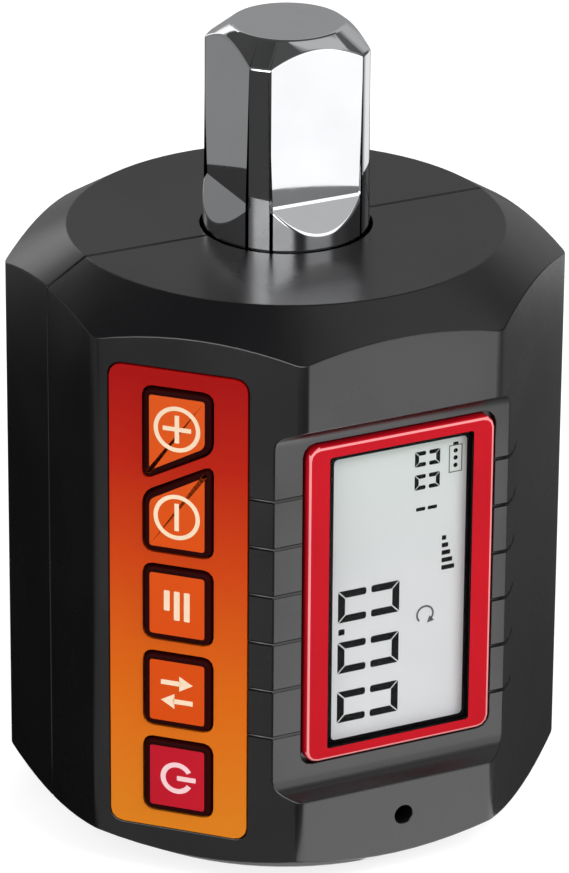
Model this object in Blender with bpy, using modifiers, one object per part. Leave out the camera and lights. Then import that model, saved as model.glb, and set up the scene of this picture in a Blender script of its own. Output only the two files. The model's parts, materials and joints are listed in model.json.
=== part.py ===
"""Digital torque adapter with a half-inch square drive, as an assembly of separate pieces.

Metres, +Z up. The origin is the centre of the body's underside, on the axis of the torque shaft.
The display looks along -Y, the keypad is on the facet to its left and the battery cover is at the rear.
A facet is named by the angle of its outward normal: 0 is the display, -45 the keypad, 180 the rear.
On a facet's empty, local X runs to the right, local Y up and local Z outwards from the shaft's axis.
"""

import math

import bmesh
import bpy
from mathutils import Matrix, Vector

# Clearances
SEAM_GAP = 0.0002
FIT_GAP = 0.0003
SKIN_GAP = 0.0001
CUT_MARGIN = 0.001

# Body
EDGE_CHAMFER = 0.0040
CHAMFER_ANGLE = math.radians(31.5)
CORNER_FILLET = 0.0007
WALL = 0.0022

# Sunk panel of the display
PANEL_DEPTH = 0.0020
PANEL_ABOVE_BASE = 0.0109
PANEL_BELOW_TOP = 0.0114
PANEL_DRAFT = 0.0010
PANEL_FILLET = 0.0009
PANEL_WALL = 0.0020

# Display
BEZEL_TO_CORNERS = 0.0006
BEZEL_ABOVE_PANEL_END = 0.00226
BEZEL_BELOW_PANEL_END = 0.00144
BEZEL_THICKNESS = 0.0012
BEZEL_PROUD = 0.0005
BEZEL_CORNER = 0.0012
BEZEL_SIDE = 0.0022
BEZEL_END = 0.0012
WINDOW_THICKNESS = 0.0007
WINDOW_OVERLAP = 0.0004
DISPLAY_X = 0.00075
LCD_THICKNESS = 0.0022
SOUNDER_Z = 0.0064
SOUNDER_PORT_DIAMETER = 0.0019
SOUNDER_SIZE = 0.0056

# Grooves across the panel
GROOVE_COUNT = 6
GROOVE_PITCH = 0.0049
GROOVES_BELOW_MIDDLE = 0.0008
GROOVE_WIDTH = 0.00045
GROOVE_TAIL = 0.0024
GROOVE_HOOK_RADIUS = 0.0012

# Keypad
LABEL_WIDTH = 0.0137
LABEL_TO_END = 0.0055
LABEL_BELOW_MIDDLE = 0.00036
LABEL_THICKNESS = 0.0005
LABEL_PROUD = 0.0001
LABEL_CORNER = 0.0012
KEYPAD_X = -0.0019
KEY_ROWS = 5
KEY_WIDTH = 0.0071
KEY_WEB = 0.00115
KEYS_TO_LABEL_END = 0.0017
KEY_CORNER = 0.0010
SLANT_RISE = 0.0037
KEY_CLEARANCE = 0.0002
KEY_PROUD = 0.0003
KEY_TRAVEL = 0.00035
KEY_FLANGE = 0.0004
FLANGE_THICKNESS = 0.0008
PLUNGER_DIAMETER = 0.0030
PLUNGER_LENGTH = 0.0009
DOME_DIAMETER = 0.0046
DOME_HEIGHT = 0.0004

# Circuit boards
BOARD_THICKNESS = 0.0010
MAIN_BOARD_INSET = 0.00065
MAIN_BOARD_BOTTOM = 0.0039
MAIN_BOARD_BELOW_TOP = 0.0070
KEY_BOARD_WIDTH = 0.0109
KEY_BOARD_INSET = 0.0007
CHIP_THICKNESS = 0.0012
CHIP_EDGE = 0.0003
CONTROLLER_SIZE = 0.0070
CONTROLLER_ABOVE_MIDDLE = 0.0086
AMPLIFIER_WIDTH = 0.0050
AMPLIFIER_HEIGHT = 0.0040
AMPLIFIER_BELOW_MIDDLE = 0.0034
POST_DIAMETER = 0.0028
POST_PILOT_DIAMETER = 0.0012
KEY_POST_INSET = 0.0014
MAIN_POST_INSET = 0.0019

# Torque shaft
DRIVE_SQUARE = 0.0127
DRIVE_STANDOUT = 0.0203
DRIVE_CORNER_CUT = 0.00165
DRIVE_END_STEP = 0.0010
DRIVE_END_CONE = 0.0021
FLAT_START = 0.0043
HALF_MOON_DROP = 0.0028
SOCKET_WALL = 0.0020
SOCKET_FLOOR = 0.0030
SOCKET_DEPTH = 0.0155
SOCKET_CLEARANCE = 0.0001
SOCKET_CORNER = 0.0005
SOCKET_CATCH_DEPTH = 0.0009
SOCKET_CATCH_WIDTH = 0.0026
UPPER_LAND = 0.0059
WAIST_STEP = 0.0015
WAIST_TAPER = 0.0035

# Spring ball of the drive
BALL_DIAMETER = 0.0045
BALL_PROUD = 0.0009
BALL_BELOW_TOP = 0.0082
BALL_LIP = 0.00035
BALL_BORE_DEPTH = 0.0070
SPRING_DIAMETER = 0.0036
SPRING_WIRE = 0.0004
SPRING_TURNS = 3
BALL_SEGMENTS = 16
BALL_RINGS = 10

# Bushes, rings, seal and pin
BUSH_WALL = 0.0016
UPPER_BUSH_LENGTH = 0.0055
LOWER_BUSH_LENGTH = 0.0025
COLLAR_WALL = 0.0014
RUNNING_GAP = 0.0001
RING_THICKNESS = 0.0009
RING_WALL = 0.0020
RING_GROOVE_DEPTH = 0.0006
SEAL_SECTION = 0.0009
PIN_DIAMETER = 0.0015
PIN_LENGTH = 0.0046
GAUGE_WIDTH = 0.0052
GAUGE_LENGTH = 0.0080
GAUGE_THICKNESS = 0.0003

# Battery bay
CELL_DIAMETER = 0.0105
CELL_LENGTH = 0.0445
CELL_GAP = 0.0006
CELL_TO_SHAFT = 0.0010
CELL_BOTTOM = 0.0069
CELL_HEADROOM = 0.0072
CELL_TO_COVER = 0.00224
CELL_NUB_DIAMETER = 0.0038
CELL_NUB_HEIGHT = 0.0008
CONTACT_SIZE = 0.0072
CONTACT_THICKNESS = 0.0004
CONTACT_CONE = 0.0009
COVER_BESIDE_CELLS = 0.0012
COVER_BELOW_CELLS = 0.0027
COVER_ABOVE_CELLS = 0.0017
COVER_THICKNESS = 0.0012
COVER_LEDGE = 0.0013
COVER_TAB_WIDTH = 0.0076
COVER_TAB_HEIGHT = 0.0021
COVER_SCREW_BELOW_TAB_TOP = 0.0019

# Screws
HOUSING_SCREW_TO_FLAT = 0.0046
HOUSING_SCREW_TO_END = 0.0120
HOUSING_SCREW_HEAD = 0.0044
HOUSING_SCREW_SHANK = 0.0025
HOUSING_SCREW_LENGTH = 0.0132
HOUSING_SCREW_SEAT = 0.0080
HOUSING_BOSS_DIAMETER = 0.0060
SMALL_SCREW_HEAD = 0.0024
SMALL_SCREW_SHANK = 0.0010
COVER_SCREW_HEAD = 0.0032
COVER_SCREW_SHANK = 0.0018
COVER_SCREW_LENGTH = 0.0070

# A screw head's form, as shares of its diameter or of its height
HEAD_HEIGHT = 0.36
HEAD_CROWN = 0.35
HEAD_FLAT = 0.32
RECESS_ARM = 0.30
RECESS_SLOT = 0.08
RECESS_DEPTH = 0.20
SINK_DEPTH = 0.8

# A dome switch and a contact's cone, as shares of the diameter, the height or the plate
DOME_TOP_RADIUS = 0.28
DOME_TOP_HEIGHT = 0.82
DOME_SIDE_RADIUS = 0.46
DOME_SIDE_HEIGHT = 0.35
CONE_FOOT = 0.40
CONE_TIP = 0.22

# Smoothness of round forms
BODY_STEPS = 80
TURN_STEPS = 48
COLLAR_STEPS = 40
SEAL_STEPS = 32
SMALL_STEPS = 20
SCREW_STEPS = 12
TINY_STEPS = 8
SPRING_STEPS = 9
SEAL_SECTION_STEPS = 6
CORNER_STEPS = 3
RIM_STEPS = 2

# The shaft and the two cells beside it set the size of the body
BAR_RADIUS = DRIVE_SQUARE / 2 + DRIVE_CORNER_CUT
SOCKET_END_RADIUS = DRIVE_SQUARE * math.sqrt(0.5) + SOCKET_WALL
SOCKET_END_LENGTH = SOCKET_DEPTH + SOCKET_FLOOR
WAIST_RADIUS = BAR_RADIUS - WAIST_STEP
CELL_RADIUS = CELL_DIAMETER / 2
CELL_X = CELL_RADIUS + CELL_GAP / 2
CELL_TOP = CELL_BOTTOM + CELL_LENGTH
CELL_DISTANCE = SOCKET_END_RADIUS + CELL_TO_SHAFT + CELL_RADIUS
CELL_Y = math.sqrt(CELL_DISTANCE ** 2 - CELL_X ** 2)
COVER_INNER = CELL_Y + CELL_RADIUS + CELL_TO_COVER
APOTHEM = COVER_INNER + COVER_THICKNESS
BODY_HEIGHT = CELL_TOP + CELL_HEADROOM

# Sizes worked out from the ones above
TOP_DISC_RADIUS = APOTHEM - EDGE_CHAMFER
FACET_HALF = APOTHEM * math.tan(math.pi / 8)
INNER_APOTHEM = APOTHEM - WALL
PANEL_APOTHEM = APOTHEM - PANEL_DEPTH
PANEL_HALF = FACET_HALF + PANEL_DEPTH
PANEL_BOTTOM = PANEL_ABOVE_BASE
PANEL_TOP = BODY_HEIGHT - PANEL_BELOW_TOP
FRONT_INNER = PANEL_APOTHEM - PANEL_WALL
INNER_DISC_RADIUS = TOP_DISC_RADIUS - WALL * math.tan(CHAMFER_ANGLE / 2)
SHAFT_TOP = BODY_HEIGHT + DRIVE_STANDOUT
SHAFT_BOTTOM = FIT_GAP
FLAT_START_Z = BODY_HEIGHT + FLAT_START
BORE_RADIUS = BAR_RADIUS + FIT_GAP
SOCKET_BORE_RADIUS = SOCKET_END_RADIUS + FIT_GAP
UPPER_SEAT_TOP = BODY_HEIGHT - WALL
UPPER_SEAT_BOTTOM = UPPER_SEAT_TOP - FIT_GAP - UPPER_BUSH_LENGTH
LOWER_SEAT_BOTTOM = WALL
LOWER_SEAT_TOP = LOWER_SEAT_BOTTOM + FIT_GAP + LOWER_BUSH_LENGTH
UPPER_BUSH_RADIUS = BAR_RADIUS + RUNNING_GAP + BUSH_WALL
LOWER_BUSH_RADIUS = SOCKET_END_RADIUS + RUNNING_GAP + BUSH_WALL
UPPER_RING_TOP = UPPER_SEAT_BOTTOM - 2 * SKIN_GAP
LOWER_RING_BOTTOM = LOWER_SEAT_TOP + 2 * SKIN_GAP
WAIST_BOTTOM = SOCKET_END_LENGTH + WAIST_TAPER
WAIST_TOP = UPPER_RING_TOP - RING_THICKNESS - SKIN_GAP - UPPER_LAND - WAIST_TAPER
CONTACT_HEIGHT = CONTACT_THICKNESS + CONTACT_CONE
LOW_CONTACT_Z = CELL_BOTTOM - FIT_GAP - CONTACT_HEIGHT
HIGH_CONTACT_Z = CELL_TOP + FIT_GAP + CONTACT_HEIGHT
COVER_WIDTH = 2 * (CELL_X + CELL_RADIUS + COVER_BESIDE_CELLS)
COVER_BOTTOM = CELL_BOTTOM - COVER_BELOW_CELLS
COVER_TOP = CELL_TOP + COVER_ABOVE_CELLS
COVER_TAB_TOP = COVER_TOP + COVER_TAB_HEIGHT
COVER_SCREW_Z = COVER_TAB_TOP - COVER_SCREW_BELOW_TAB_TOP
HOUSING_SCREW_X = APOTHEM - HOUSING_SCREW_TO_FLAT
KEYPAD_Z = BODY_HEIGHT / 2 - LABEL_BELOW_MIDDLE
LABEL_HEIGHT = BODY_HEIGHT - 2 * LABEL_TO_END
KEY_PITCH = (LABEL_HEIGHT - 2 * KEYS_TO_LABEL_END + KEY_WEB) / KEY_ROWS
KEY_HEIGHT = KEY_PITCH - KEY_WEB
LOWEST_KEY_Z = KEYPAD_Z - LABEL_HEIGHT / 2 + KEYS_TO_LABEL_END + KEY_HEIGHT / 2
LABEL_FLOOR = APOTHEM + LABEL_PROUD - LABEL_THICKNESS - SKIN_GAP
KEY_TOP = APOTHEM + LABEL_PROUD + KEY_PROUD
FLANGE_TOP = INNER_APOTHEM - FIT_GAP
PLUNGER_END = FLANGE_TOP - FLANGE_THICKNESS - PLUNGER_LENGTH
DOME_TOP = PLUNGER_END - KEY_TRAVEL - SKIN_GAP
KEY_BOARD_FRONT = DOME_TOP - DOME_HEIGHT - SKIN_GAP
KEY_BOARD_RIGHT = KEYPAD_X + KEY_WIDTH / 2 + KEY_FLANGE
KEY_BOARD_X = KEY_BOARD_RIGHT - KEY_BOARD_WIDTH / 2
KEY_BOARD_HEIGHT = LABEL_HEIGHT - 2 * KEY_BOARD_INSET
BEZEL_WIDTH = 2 * (FACET_HALF - BEZEL_TO_CORNERS)
BEZEL_BOTTOM = PANEL_BOTTOM + BEZEL_ABOVE_PANEL_END
BEZEL_TOP = PANEL_TOP - BEZEL_BELOW_PANEL_END
BEZEL_HEIGHT = BEZEL_TOP - BEZEL_BOTTOM
DISPLAY_Z = (BEZEL_TOP + BEZEL_BOTTOM) / 2
WINDOW_WIDTH = BEZEL_WIDTH - 2 * BEZEL_SIDE
WINDOW_HEIGHT = BEZEL_HEIGHT - 2 * BEZEL_END
BEZEL_BACK = PANEL_APOTHEM + BEZEL_PROUD - BEZEL_THICKNESS
BEZEL_SEAT = BEZEL_BACK - SKIN_GAP
LENS_FRONT = BEZEL_BACK + WINDOW_THICKNESS
LCD_BACK = BEZEL_BACK - SKIN_GAP - LCD_THICKNESS
SOUNDER_THICKNESS = FRONT_INNER - SKIN_GAP - LCD_BACK
MAIN_BOARD_FRONT = LCD_BACK - FIT_GAP
MAIN_BOARD_WIDTH = BEZEL_WIDTH - 2 * MAIN_BOARD_INSET
MAIN_BOARD_TOP = BODY_HEIGHT - MAIN_BOARD_BELOW_TOP
MAIN_BOARD_HEIGHT = MAIN_BOARD_TOP - MAIN_BOARD_BOTTOM
MAIN_BOARD_Z = (MAIN_BOARD_TOP + MAIN_BOARD_BOTTOM) / 2
LENS_WIDTH = WINDOW_WIDTH + 2 * WINDOW_OVERLAP
LENS_HEIGHT = WINDOW_HEIGHT + 2 * WINDOW_OVERLAP
LOWEST_GROOVE_Z = DISPLAY_Z - GROOVES_BELOW_MIDDLE - (GROOVE_COUNT - 1) * GROOVE_PITCH / 2

for leftover in list(bpy.data.objects):
    bpy.data.objects.remove(leftover, do_unlink=True)


def collection(name, hidden=False):
    made = bpy.data.collections.new(name)
    bpy.context.scene.collection.children.link(made)
    made.hide_render = hidden
    return made


PARTS = collection("digital_torque_adapter")
CUTTERS = collection("cutters", hidden=True)


def material(name, colour, roughness, metallic=0.0):
    made = bpy.data.materials.new(name)
    made.use_nodes = True
    shader = made.node_tree.nodes["Principled BSDF"]
    shader.inputs["Base Color"].default_value = (*colour, 1.0)
    shader.inputs["Roughness"].default_value = roughness
    shader.inputs["Metallic"].default_value = metallic
    made.diffuse_color = (*colour, 1.0)
    return made


BLACK_PLASTIC = material("black_plastic", (0.012, 0.012, 0.013), 0.38)
CHROME = material("chrome", (0.78, 0.79, 0.81), 0.08, 1.0)
RED_PLASTIC = material("red_plastic", (0.55, 0.012, 0.022), 0.30)
CLEAR_WINDOW = material("clear_window", (0.70, 0.74, 0.72), 0.06)
LCD_GREY = material("lcd_grey", (0.62, 0.65, 0.63), 0.25)
ORANGE_LABEL = material("orange_label", (0.72, 0.16, 0.02), 0.35)
ORANGE_KEY = material("orange_key", (0.85, 0.11, 0.01), 0.35)
CRIMSON_KEY = material("crimson_key", (0.50, 0.01, 0.03), 0.35)
BOARD_GREEN = material("board_green", (0.02, 0.12, 0.05), 0.45)
CHIP_BLACK = material("chip_black", (0.02, 0.02, 0.02), 0.50)
STEEL = material("steel", (0.45, 0.45, 0.46), 0.30, 1.0)
BRONZE = material("bronze", (0.50, 0.30, 0.12), 0.35, 1.0)
SEAL_RUBBER = material("seal_rubber", (0.02, 0.02, 0.02), 0.80)
GAUGE_FOIL = material("gauge_foil", (0.70, 0.45, 0.15), 0.40)
CELL_JACKET = material("cell_jacket", (0.05, 0.10, 0.25), 0.35)


def add(name, data, group, coat=None):
    """An object for this mesh in its collection. A cutter is drawn as wire and never rendered."""
    obj = bpy.data.objects.new(name, data)
    group.objects.link(obj)
    if group is not PARTS:
        obj.hide_render = True
        obj.display_type = "WIRE"
    if coat and not data.materials:
        data.materials.append(coat)
    return obj


def from_bmesh(name, bm, group, coat=None):
    bmesh.ops.recalc_face_normals(bm, faces=bm.faces)
    data = bpy.data.meshes.new(name)
    bm.to_mesh(data)
    bm.free()
    return add(name, data, group, coat)


def smooth(obj, angle=math.radians(35)):
    obj.data.shade_smooth()
    obj.data.set_sharp_from_angle(angle=angle)


def empty(name, angle):
    """The frame of one facet: X to the right on it, Y up and Z outwards."""
    frame = bpy.data.objects.new(name, None)
    PARTS.objects.link(frame)
    frame.rotation_euler = (math.pi / 2, 0, math.radians(angle))
    return frame


DISPLAY_FACET = empty("display_facet", 0)
KEYPAD_FACET = empty("keypad_facet", -45)
REAR_FACET = empty("rear_facet", 180)


def place(obj, facet, x, z, depth):
    """Stands a piece on a facet, with its local origin this far from the shaft's axis."""
    obj.parent = facet
    obj.location = (x, z, depth)
    return obj


def boolean(obj, operation, other):
    modifier = obj.modifiers.new(operation.lower(), "BOOLEAN")
    modifier.operation = operation
    modifier.solver = "EXACT"
    if isinstance(other, bpy.types.Collection):
        modifier.operand_type = "COLLECTION"
        modifier.collection = other
    else:
        modifier.object = other
    return obj


def cut_group(name):
    """A collection of cutters that one Boolean takes together."""
    made = bpy.data.collections.new(name)
    CUTTERS.children.link(made)
    made.hide_render = True
    return made


def block(name, low, high, group, coat=None):
    """A box between two corners."""
    size = [h - l for l, h in zip(low, high)]
    centre = [(h + l) / 2 for l, h in zip(low, high)]
    bm = bmesh.new()
    bmesh.ops.create_cube(bm, size=1.0, matrix=Matrix.Translation(centre) @ Matrix.Diagonal((*size, 1.0)))
    return from_bmesh(name, bm, group, coat)


def edges_along_z(bm):
    return [edge for edge in bm.edges if abs((edge.verts[1].co - edge.verts[0].co).normalized().z) > 0.9]


def plate(name, left, right, thickness, group, coat=None, corner=0.0, rim=0.0, width=0.0):
    """A plate with its back on local Z = 0. left and right are the (low, high) Y of its two sides."""
    bm = bmesh.new()
    bmesh.ops.create_cube(bm, size=1.0)
    for vert in bm.verts:
        side = left if vert.co.x < 0 else right
        top = vert.co.y > 0
        vert.co = (vert.co.x * width, side[1] if top else side[0], (vert.co.z + 0.5) * thickness)
    if corner:
        sides = edges_along_z(bm)
        bmesh.ops.bevel(bm, geom=sides, offset=corner, segments=CORNER_STEPS, profile=0.5, affect="EDGES")
    if rim:
        front = [edge for edge in bm.edges if all(vert.co.z > thickness * 0.99 for vert in edge.verts)]
        bmesh.ops.bevel(bm, geom=front, offset=rim, segments=RIM_STEPS, profile=0.5, affect="EDGES")
    return from_bmesh(name, bm, group, coat)


def panel(name, width, height, thickness, group, coat=None, corner=0.0, rim=0.0):
    """A rectangular plate centred on its local origin."""
    side = (-height / 2, height / 2)
    return plate(name, side, side, thickness, group, coat, corner, rim, width)


def cylinder(name, radius, bottom, top, group, coat=None, steps=SMALL_STEPS, top_radius=None):
    """A cylinder or a cone along local Z."""
    bm = bmesh.new()
    bmesh.ops.create_cone(
        bm,
        cap_ends=True,
        segments=steps,
        radius1=radius,
        radius2=radius if top_radius is None else top_radius,
        depth=top - bottom,
        matrix=Matrix.Translation((0, 0, (top + bottom) / 2)),
    )
    made = from_bmesh(name, bm, group, coat)
    smooth(made)
    return made


def turned(name, profile, group, coat=None, steps=TURN_STEPS):
    """A turned form: (radius, z) points down the outer side. Off the axis, the profile closes on itself."""
    bm = bmesh.new()
    points = [bm.verts.new((radius, 0, z)) for radius, z in profile]
    for start, end in zip(points, points[1:]):
        bm.edges.new((start, end))
    if min(radius for radius, _ in profile) > 0:
        bm.edges.new((points[-1], points[0]))
    data = bpy.data.meshes.new(name)
    bm.to_mesh(data)
    bm.free()
    made = add(name, data, group, coat)
    screw = made.modifiers.new("turn", "SCREW")
    screw.steps = steps
    screw.render_steps = steps
    screw.use_merge_vertices = True
    screw.merge_threshold = 0.000001
    screw.use_smooth_shade = False
    return made


def turned_ring(name, inner, outer, bottom, top, group, coat=None, steps=TURN_STEPS):
    return turned(name, [(outer, top), (outer, bottom), (inner, bottom), (inner, top)], group, coat, steps)


def baked(obj):
    """The mesh that this object's modifiers make. The object itself is removed."""
    bpy.context.view_layer.update()
    graph = bpy.context.evaluated_depsgraph_get()
    data = bpy.data.meshes.new_from_object(obj.evaluated_get(graph))
    bpy.data.objects.remove(obj, do_unlink=True)
    return data


def tube(name, points, radius, group, coat=None, sides=2):
    """A round wire along these points, as a closed mesh."""
    curve = bpy.data.curves.new(name, "CURVE")
    curve.dimensions = "3D"
    curve.bevel_depth = radius
    curve.bevel_resolution = sides
    curve.use_fill_caps = True
    line = curve.splines.new("POLY")
    line.points.add(len(points) - 1)
    for point, place_of in zip(line.points, points):
        point.co = (*place_of, 1.0)
    data = baked(add(name, curve, CUTTERS))
    bm = bmesh.new()
    bm.from_mesh(data)
    bmesh.ops.remove_doubles(bm, verts=bm.verts, dist=0.000001)
    return from_bmesh(name, bm, group, coat)


# The octagonal body

def octagon(name, apothem, bottom, top, group, fillet=0.0, keep=0):
    """An eight-sided prism with flats square to X and Y. keep is -1 or 1 for only the front or rear half."""
    bm = bmesh.new()
    bmesh.ops.create_cone(
        bm,
        cap_ends=True,
        segments=8,
        radius1=apothem / math.cos(math.pi / 8),
        radius2=apothem / math.cos(math.pi / 8),
        depth=top - bottom,
        matrix=Matrix.Translation((0, 0, (top + bottom) / 2)) @ Matrix.Rotation(math.pi / 8, 4, "Z"),
    )
    if fillet:
        sides = edges_along_z(bm)
        bmesh.ops.bevel(bm, geom=sides, offset=fillet, segments=CORNER_STEPS, profile=0.5, affect="EDGES")
    if keep:
        cut = bmesh.ops.bisect_plane(
            bm,
            geom=bm.verts[:] + bm.edges[:] + bm.faces[:],
            plane_co=(0, keep * SEAM_GAP / 2, 0),
            plane_no=(0, keep, 0),
            clear_inner=True,
        )
        rim = [item for item in cut["geom_cut"] if isinstance(item, bmesh.types.BMEdge)]
        bmesh.ops.edgenet_fill(bm, edges=rim)
    return from_bmesh(name, bm, group)


def chamfered_turning(name, apothem, disc_radius, bottom, top, steps):
    """The turned form that cuts a prism's two ends to cones around a flat disc."""
    reach = apothem / math.cos(math.pi / 8) + CUT_MARGIN
    fall = (reach - disc_radius) * math.tan(CHAMFER_ANGLE)
    return turned(
        name,
        [
            (0, top),
            (disc_radius, top),
            (reach, top - fall),
            (reach, bottom + fall),
            (disc_radius, bottom),
            (0, bottom),
        ],
        CUTTERS,
        steps=steps,
    )


OUTER_TURNING = chamfered_turning("outer_turning", APOTHEM, TOP_DISC_RADIUS, 0, BODY_HEIGHT, BODY_STEPS)
INNER_TURNING = chamfered_turning(
    "inner_turning", INNER_APOTHEM, INNER_DISC_RADIUS, WALL, BODY_HEIGHT - WALL, COLLAR_STEPS
)


def housing_half(name, keep):
    half = octagon(name, APOTHEM, -CUT_MARGIN, BODY_HEIGHT + CUT_MARGIN, PARTS, CORNER_FILLET, keep)
    half.data.materials.append(BLACK_PLASTIC)
    boolean(half, "INTERSECT", OUTER_TURNING)
    return half


def core_half(name, bosses):
    """What is hollow inside a shell: the inner form less every boss, post and rib that stands in it."""
    core = octagon(name, INNER_APOTHEM, -CUT_MARGIN, BODY_HEIGHT + CUT_MARGIN, CUTTERS)
    boolean(core, "INTERSECT", INNER_TURNING)
    boolean(core, "DIFFERENCE", bosses)
    return core


def shaft_passage():
    """The bore through both end walls and the seats of the two bushes, as one turned cutter."""
    upper_seat = UPPER_BUSH_RADIUS + FIT_GAP
    lower_seat = LOWER_BUSH_RADIUS + FIT_GAP
    return turned(
        "shaft_passage",
        [
            (0, BODY_HEIGHT + CUT_MARGIN),
            (BORE_RADIUS, BODY_HEIGHT + CUT_MARGIN),
            (BORE_RADIUS, UPPER_SEAT_TOP),
            (upper_seat, UPPER_SEAT_TOP),
            (upper_seat, LOWER_SEAT_BOTTOM + LOWER_BUSH_LENGTH + CUT_MARGIN),
            (lower_seat, LOWER_SEAT_BOTTOM + LOWER_BUSH_LENGTH + CUT_MARGIN),
            (lower_seat, LOWER_SEAT_BOTTOM),
            (SOCKET_BORE_RADIUS, LOWER_SEAT_BOTTOM),
            (SOCKET_BORE_RADIUS, -CUT_MARGIN),
            (0, -CUT_MARGIN),
        ],
        CUTTERS,
        steps=COLLAR_STEPS,
    )


def collars(group):
    """The two round walls that hold the bushes, at the top and the bottom of a shell."""
    cylinder(
        "upper_collar",
        UPPER_BUSH_RADIUS + FIT_GAP + COLLAR_WALL,
        UPPER_SEAT_BOTTOM,
        BODY_HEIGHT,
        group,
        steps=COLLAR_STEPS,
    )
    reach = LOWER_BUSH_RADIUS + FIT_GAP + COLLAR_WALL
    cylinder("lower_collar", reach, 0, LOWER_SEAT_TOP, group, steps=COLLAR_STEPS)


def housing_screw_places():
    return [
        (x, z)
        for z in (HOUSING_SCREW_TO_END, BODY_HEIGHT - HOUSING_SCREW_TO_END)
        for x in (-HOUSING_SCREW_X, HOUSING_SCREW_X)
    ]


def along_rear(name, radius, x, z, start, end, group, steps=SMALL_STEPS, end_radius=None):
    """A round form square to the rear facet, from one Y to another."""
    return place(cylinder(name, radius, start, end, group, None, steps, end_radius), REAR_FACET, -x, z, 0)


# Front housing

def groove_path(z):
    """Along one groove: out of the label's recess, over the sunk panel and up onto the next facet."""
    label_edge = KEYPAD_X + LABEL_WIDTH / 2
    panel_edge = APOTHEM * math.sqrt(0.5) * 2 - PANEL_APOTHEM
    left = Vector((-math.sqrt(0.5), -math.sqrt(0.5), 0)) * APOTHEM
    along_left = Vector((math.sqrt(0.5), -math.sqrt(0.5), 0))
    right = Vector((math.sqrt(0.5), -math.sqrt(0.5), 0)) * APOTHEM
    along_right = Vector((math.sqrt(0.5), math.sqrt(0.5), 0))
    edge_on_facet = -(PANEL_APOTHEM - panel_edge) * math.sqrt(0.5)
    level = Vector((0, 0, z))
    path = [left + along_left * (label_edge - FIT_GAP) + level]
    path.append(Vector((-panel_edge, -PANEL_APOTHEM, z)))
    path.append(Vector((panel_edge, -PANEL_APOTHEM, z)))
    for step in range(5):
        turn = math.radians(70) * step / 4
        run = edge_on_facet + GROOVE_TAIL - GROOVE_HOOK_RADIUS + GROOVE_HOOK_RADIUS * math.sin(turn)
        rise = GROOVE_HOOK_RADIUS * (1 - math.cos(turn))
        path.append(right + along_right * run + level + Vector((0, 0, rise)))
    return path


def panel_cutter(group):
    """The sunk panel: a flat milled across the facet, with sloping ends that run out in a fillet."""
    floor = -PANEL_APOTHEM
    middle = (PANEL_TOP + PANEL_BOTTOM) / 2
    depth = PANEL_DEPTH + CUT_MARGIN
    slope = PANEL_DRAFT / PANEL_DEPTH * depth
    bm = bmesh.new()
    bmesh.ops.create_cube(
        bm,
        size=1.0,
        matrix=Matrix.Translation((0, floor - depth / 2, middle))
        @ Matrix.Diagonal((2 * PANEL_HALF + CUT_MARGIN, depth, PANEL_TOP - PANEL_BOTTOM, 1.0)),
    )
    for vert in bm.verts:
        if vert.co.y < floor - depth / 2:
            vert.co.z += math.copysign(slope, vert.co.z - middle)
    ends = [edge for edge in bm.edges if all(vert.co.y > floor - depth / 2 for vert in edge.verts)]
    ends = [edge for edge in ends if abs(edge.verts[0].co.x - edge.verts[1].co.x) > PANEL_HALF]
    bmesh.ops.bevel(bm, geom=ends, offset=PANEL_FILLET, segments=CORNER_STEPS, profile=0.5, affect="EDGES")
    return from_bmesh("panel_cutter", bm, group)


def key_spans():
    """(name, left span, right span) of each key opening, from the lowest up, in heights on the facet."""
    spans = []
    for row, name in enumerate(("key_power", "key_units", "key_mode")):
        middle = LOWEST_KEY_Z + row * KEY_PITCH
        side = (middle - KEY_HEIGHT / 2, middle + KEY_HEIGHT / 2)
        spans.append((name, side, side))
    low = LOWEST_KEY_Z + (KEY_ROWS - 2) * KEY_PITCH - KEY_HEIGHT / 2
    high = LOWEST_KEY_Z + (KEY_ROWS - 1) * KEY_PITCH + KEY_HEIGHT / 2
    middle = (low + high) / 2
    left, right = middle - SLANT_RISE / 2, middle + SLANT_RISE / 2
    spans.append(("key_minus", (low, left - KEY_WEB / 2), (low, right - KEY_WEB / 2)))
    spans.append(("key_plus", (left + KEY_WEB / 2, high), (right + KEY_WEB / 2, high)))
    return spans


def key_plate(name, left, right, grow, thickness, group, coat=None, rim=0.0):
    """A plate in the outline of a key opening, larger by grow all round."""
    def wider(span):
        return (span[0] - grow, span[1] + grow)
    corner = max(KEY_CORNER + grow, KEY_CORNER / 2)
    return plate(name, wider(left), wider(right), thickness, group, coat, corner, rim, KEY_WIDTH + 2 * grow)


def key_openings():
    group = cut_group("key_openings")
    start = INNER_APOTHEM - CUT_MARGIN
    for name, left, right in key_spans():
        cutter = key_plate(name + "_opening", left, right, 0, APOTHEM - start + CUT_MARGIN, group)
        place(cutter, KEYPAD_FACET, KEYPAD_X, 0, start)
    return group


def post_groups():
    """(name, facet, places, front of its board) of the posts that each circuit board is screwed to."""
    low = SOUNDER_Z + SOUNDER_SIZE / 2 + POST_DIAMETER / 2 + FIT_GAP
    main = [(DISPLAY_X, low), (DISPLAY_X, MAIN_BOARD_TOP - MAIN_POST_INSET)]
    x = KEY_BOARD_RIGHT - KEY_BOARD_WIDTH + KEY_POST_INSET
    keys = [(x, KEYPAD_Z - KEY_PITCH), (x, KEYPAD_Z + KEY_PITCH)]
    return (("main", DISPLAY_FACET, main, MAIN_BOARD_FRONT), ("key", KEYPAD_FACET, keys, KEY_BOARD_FRONT))


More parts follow.
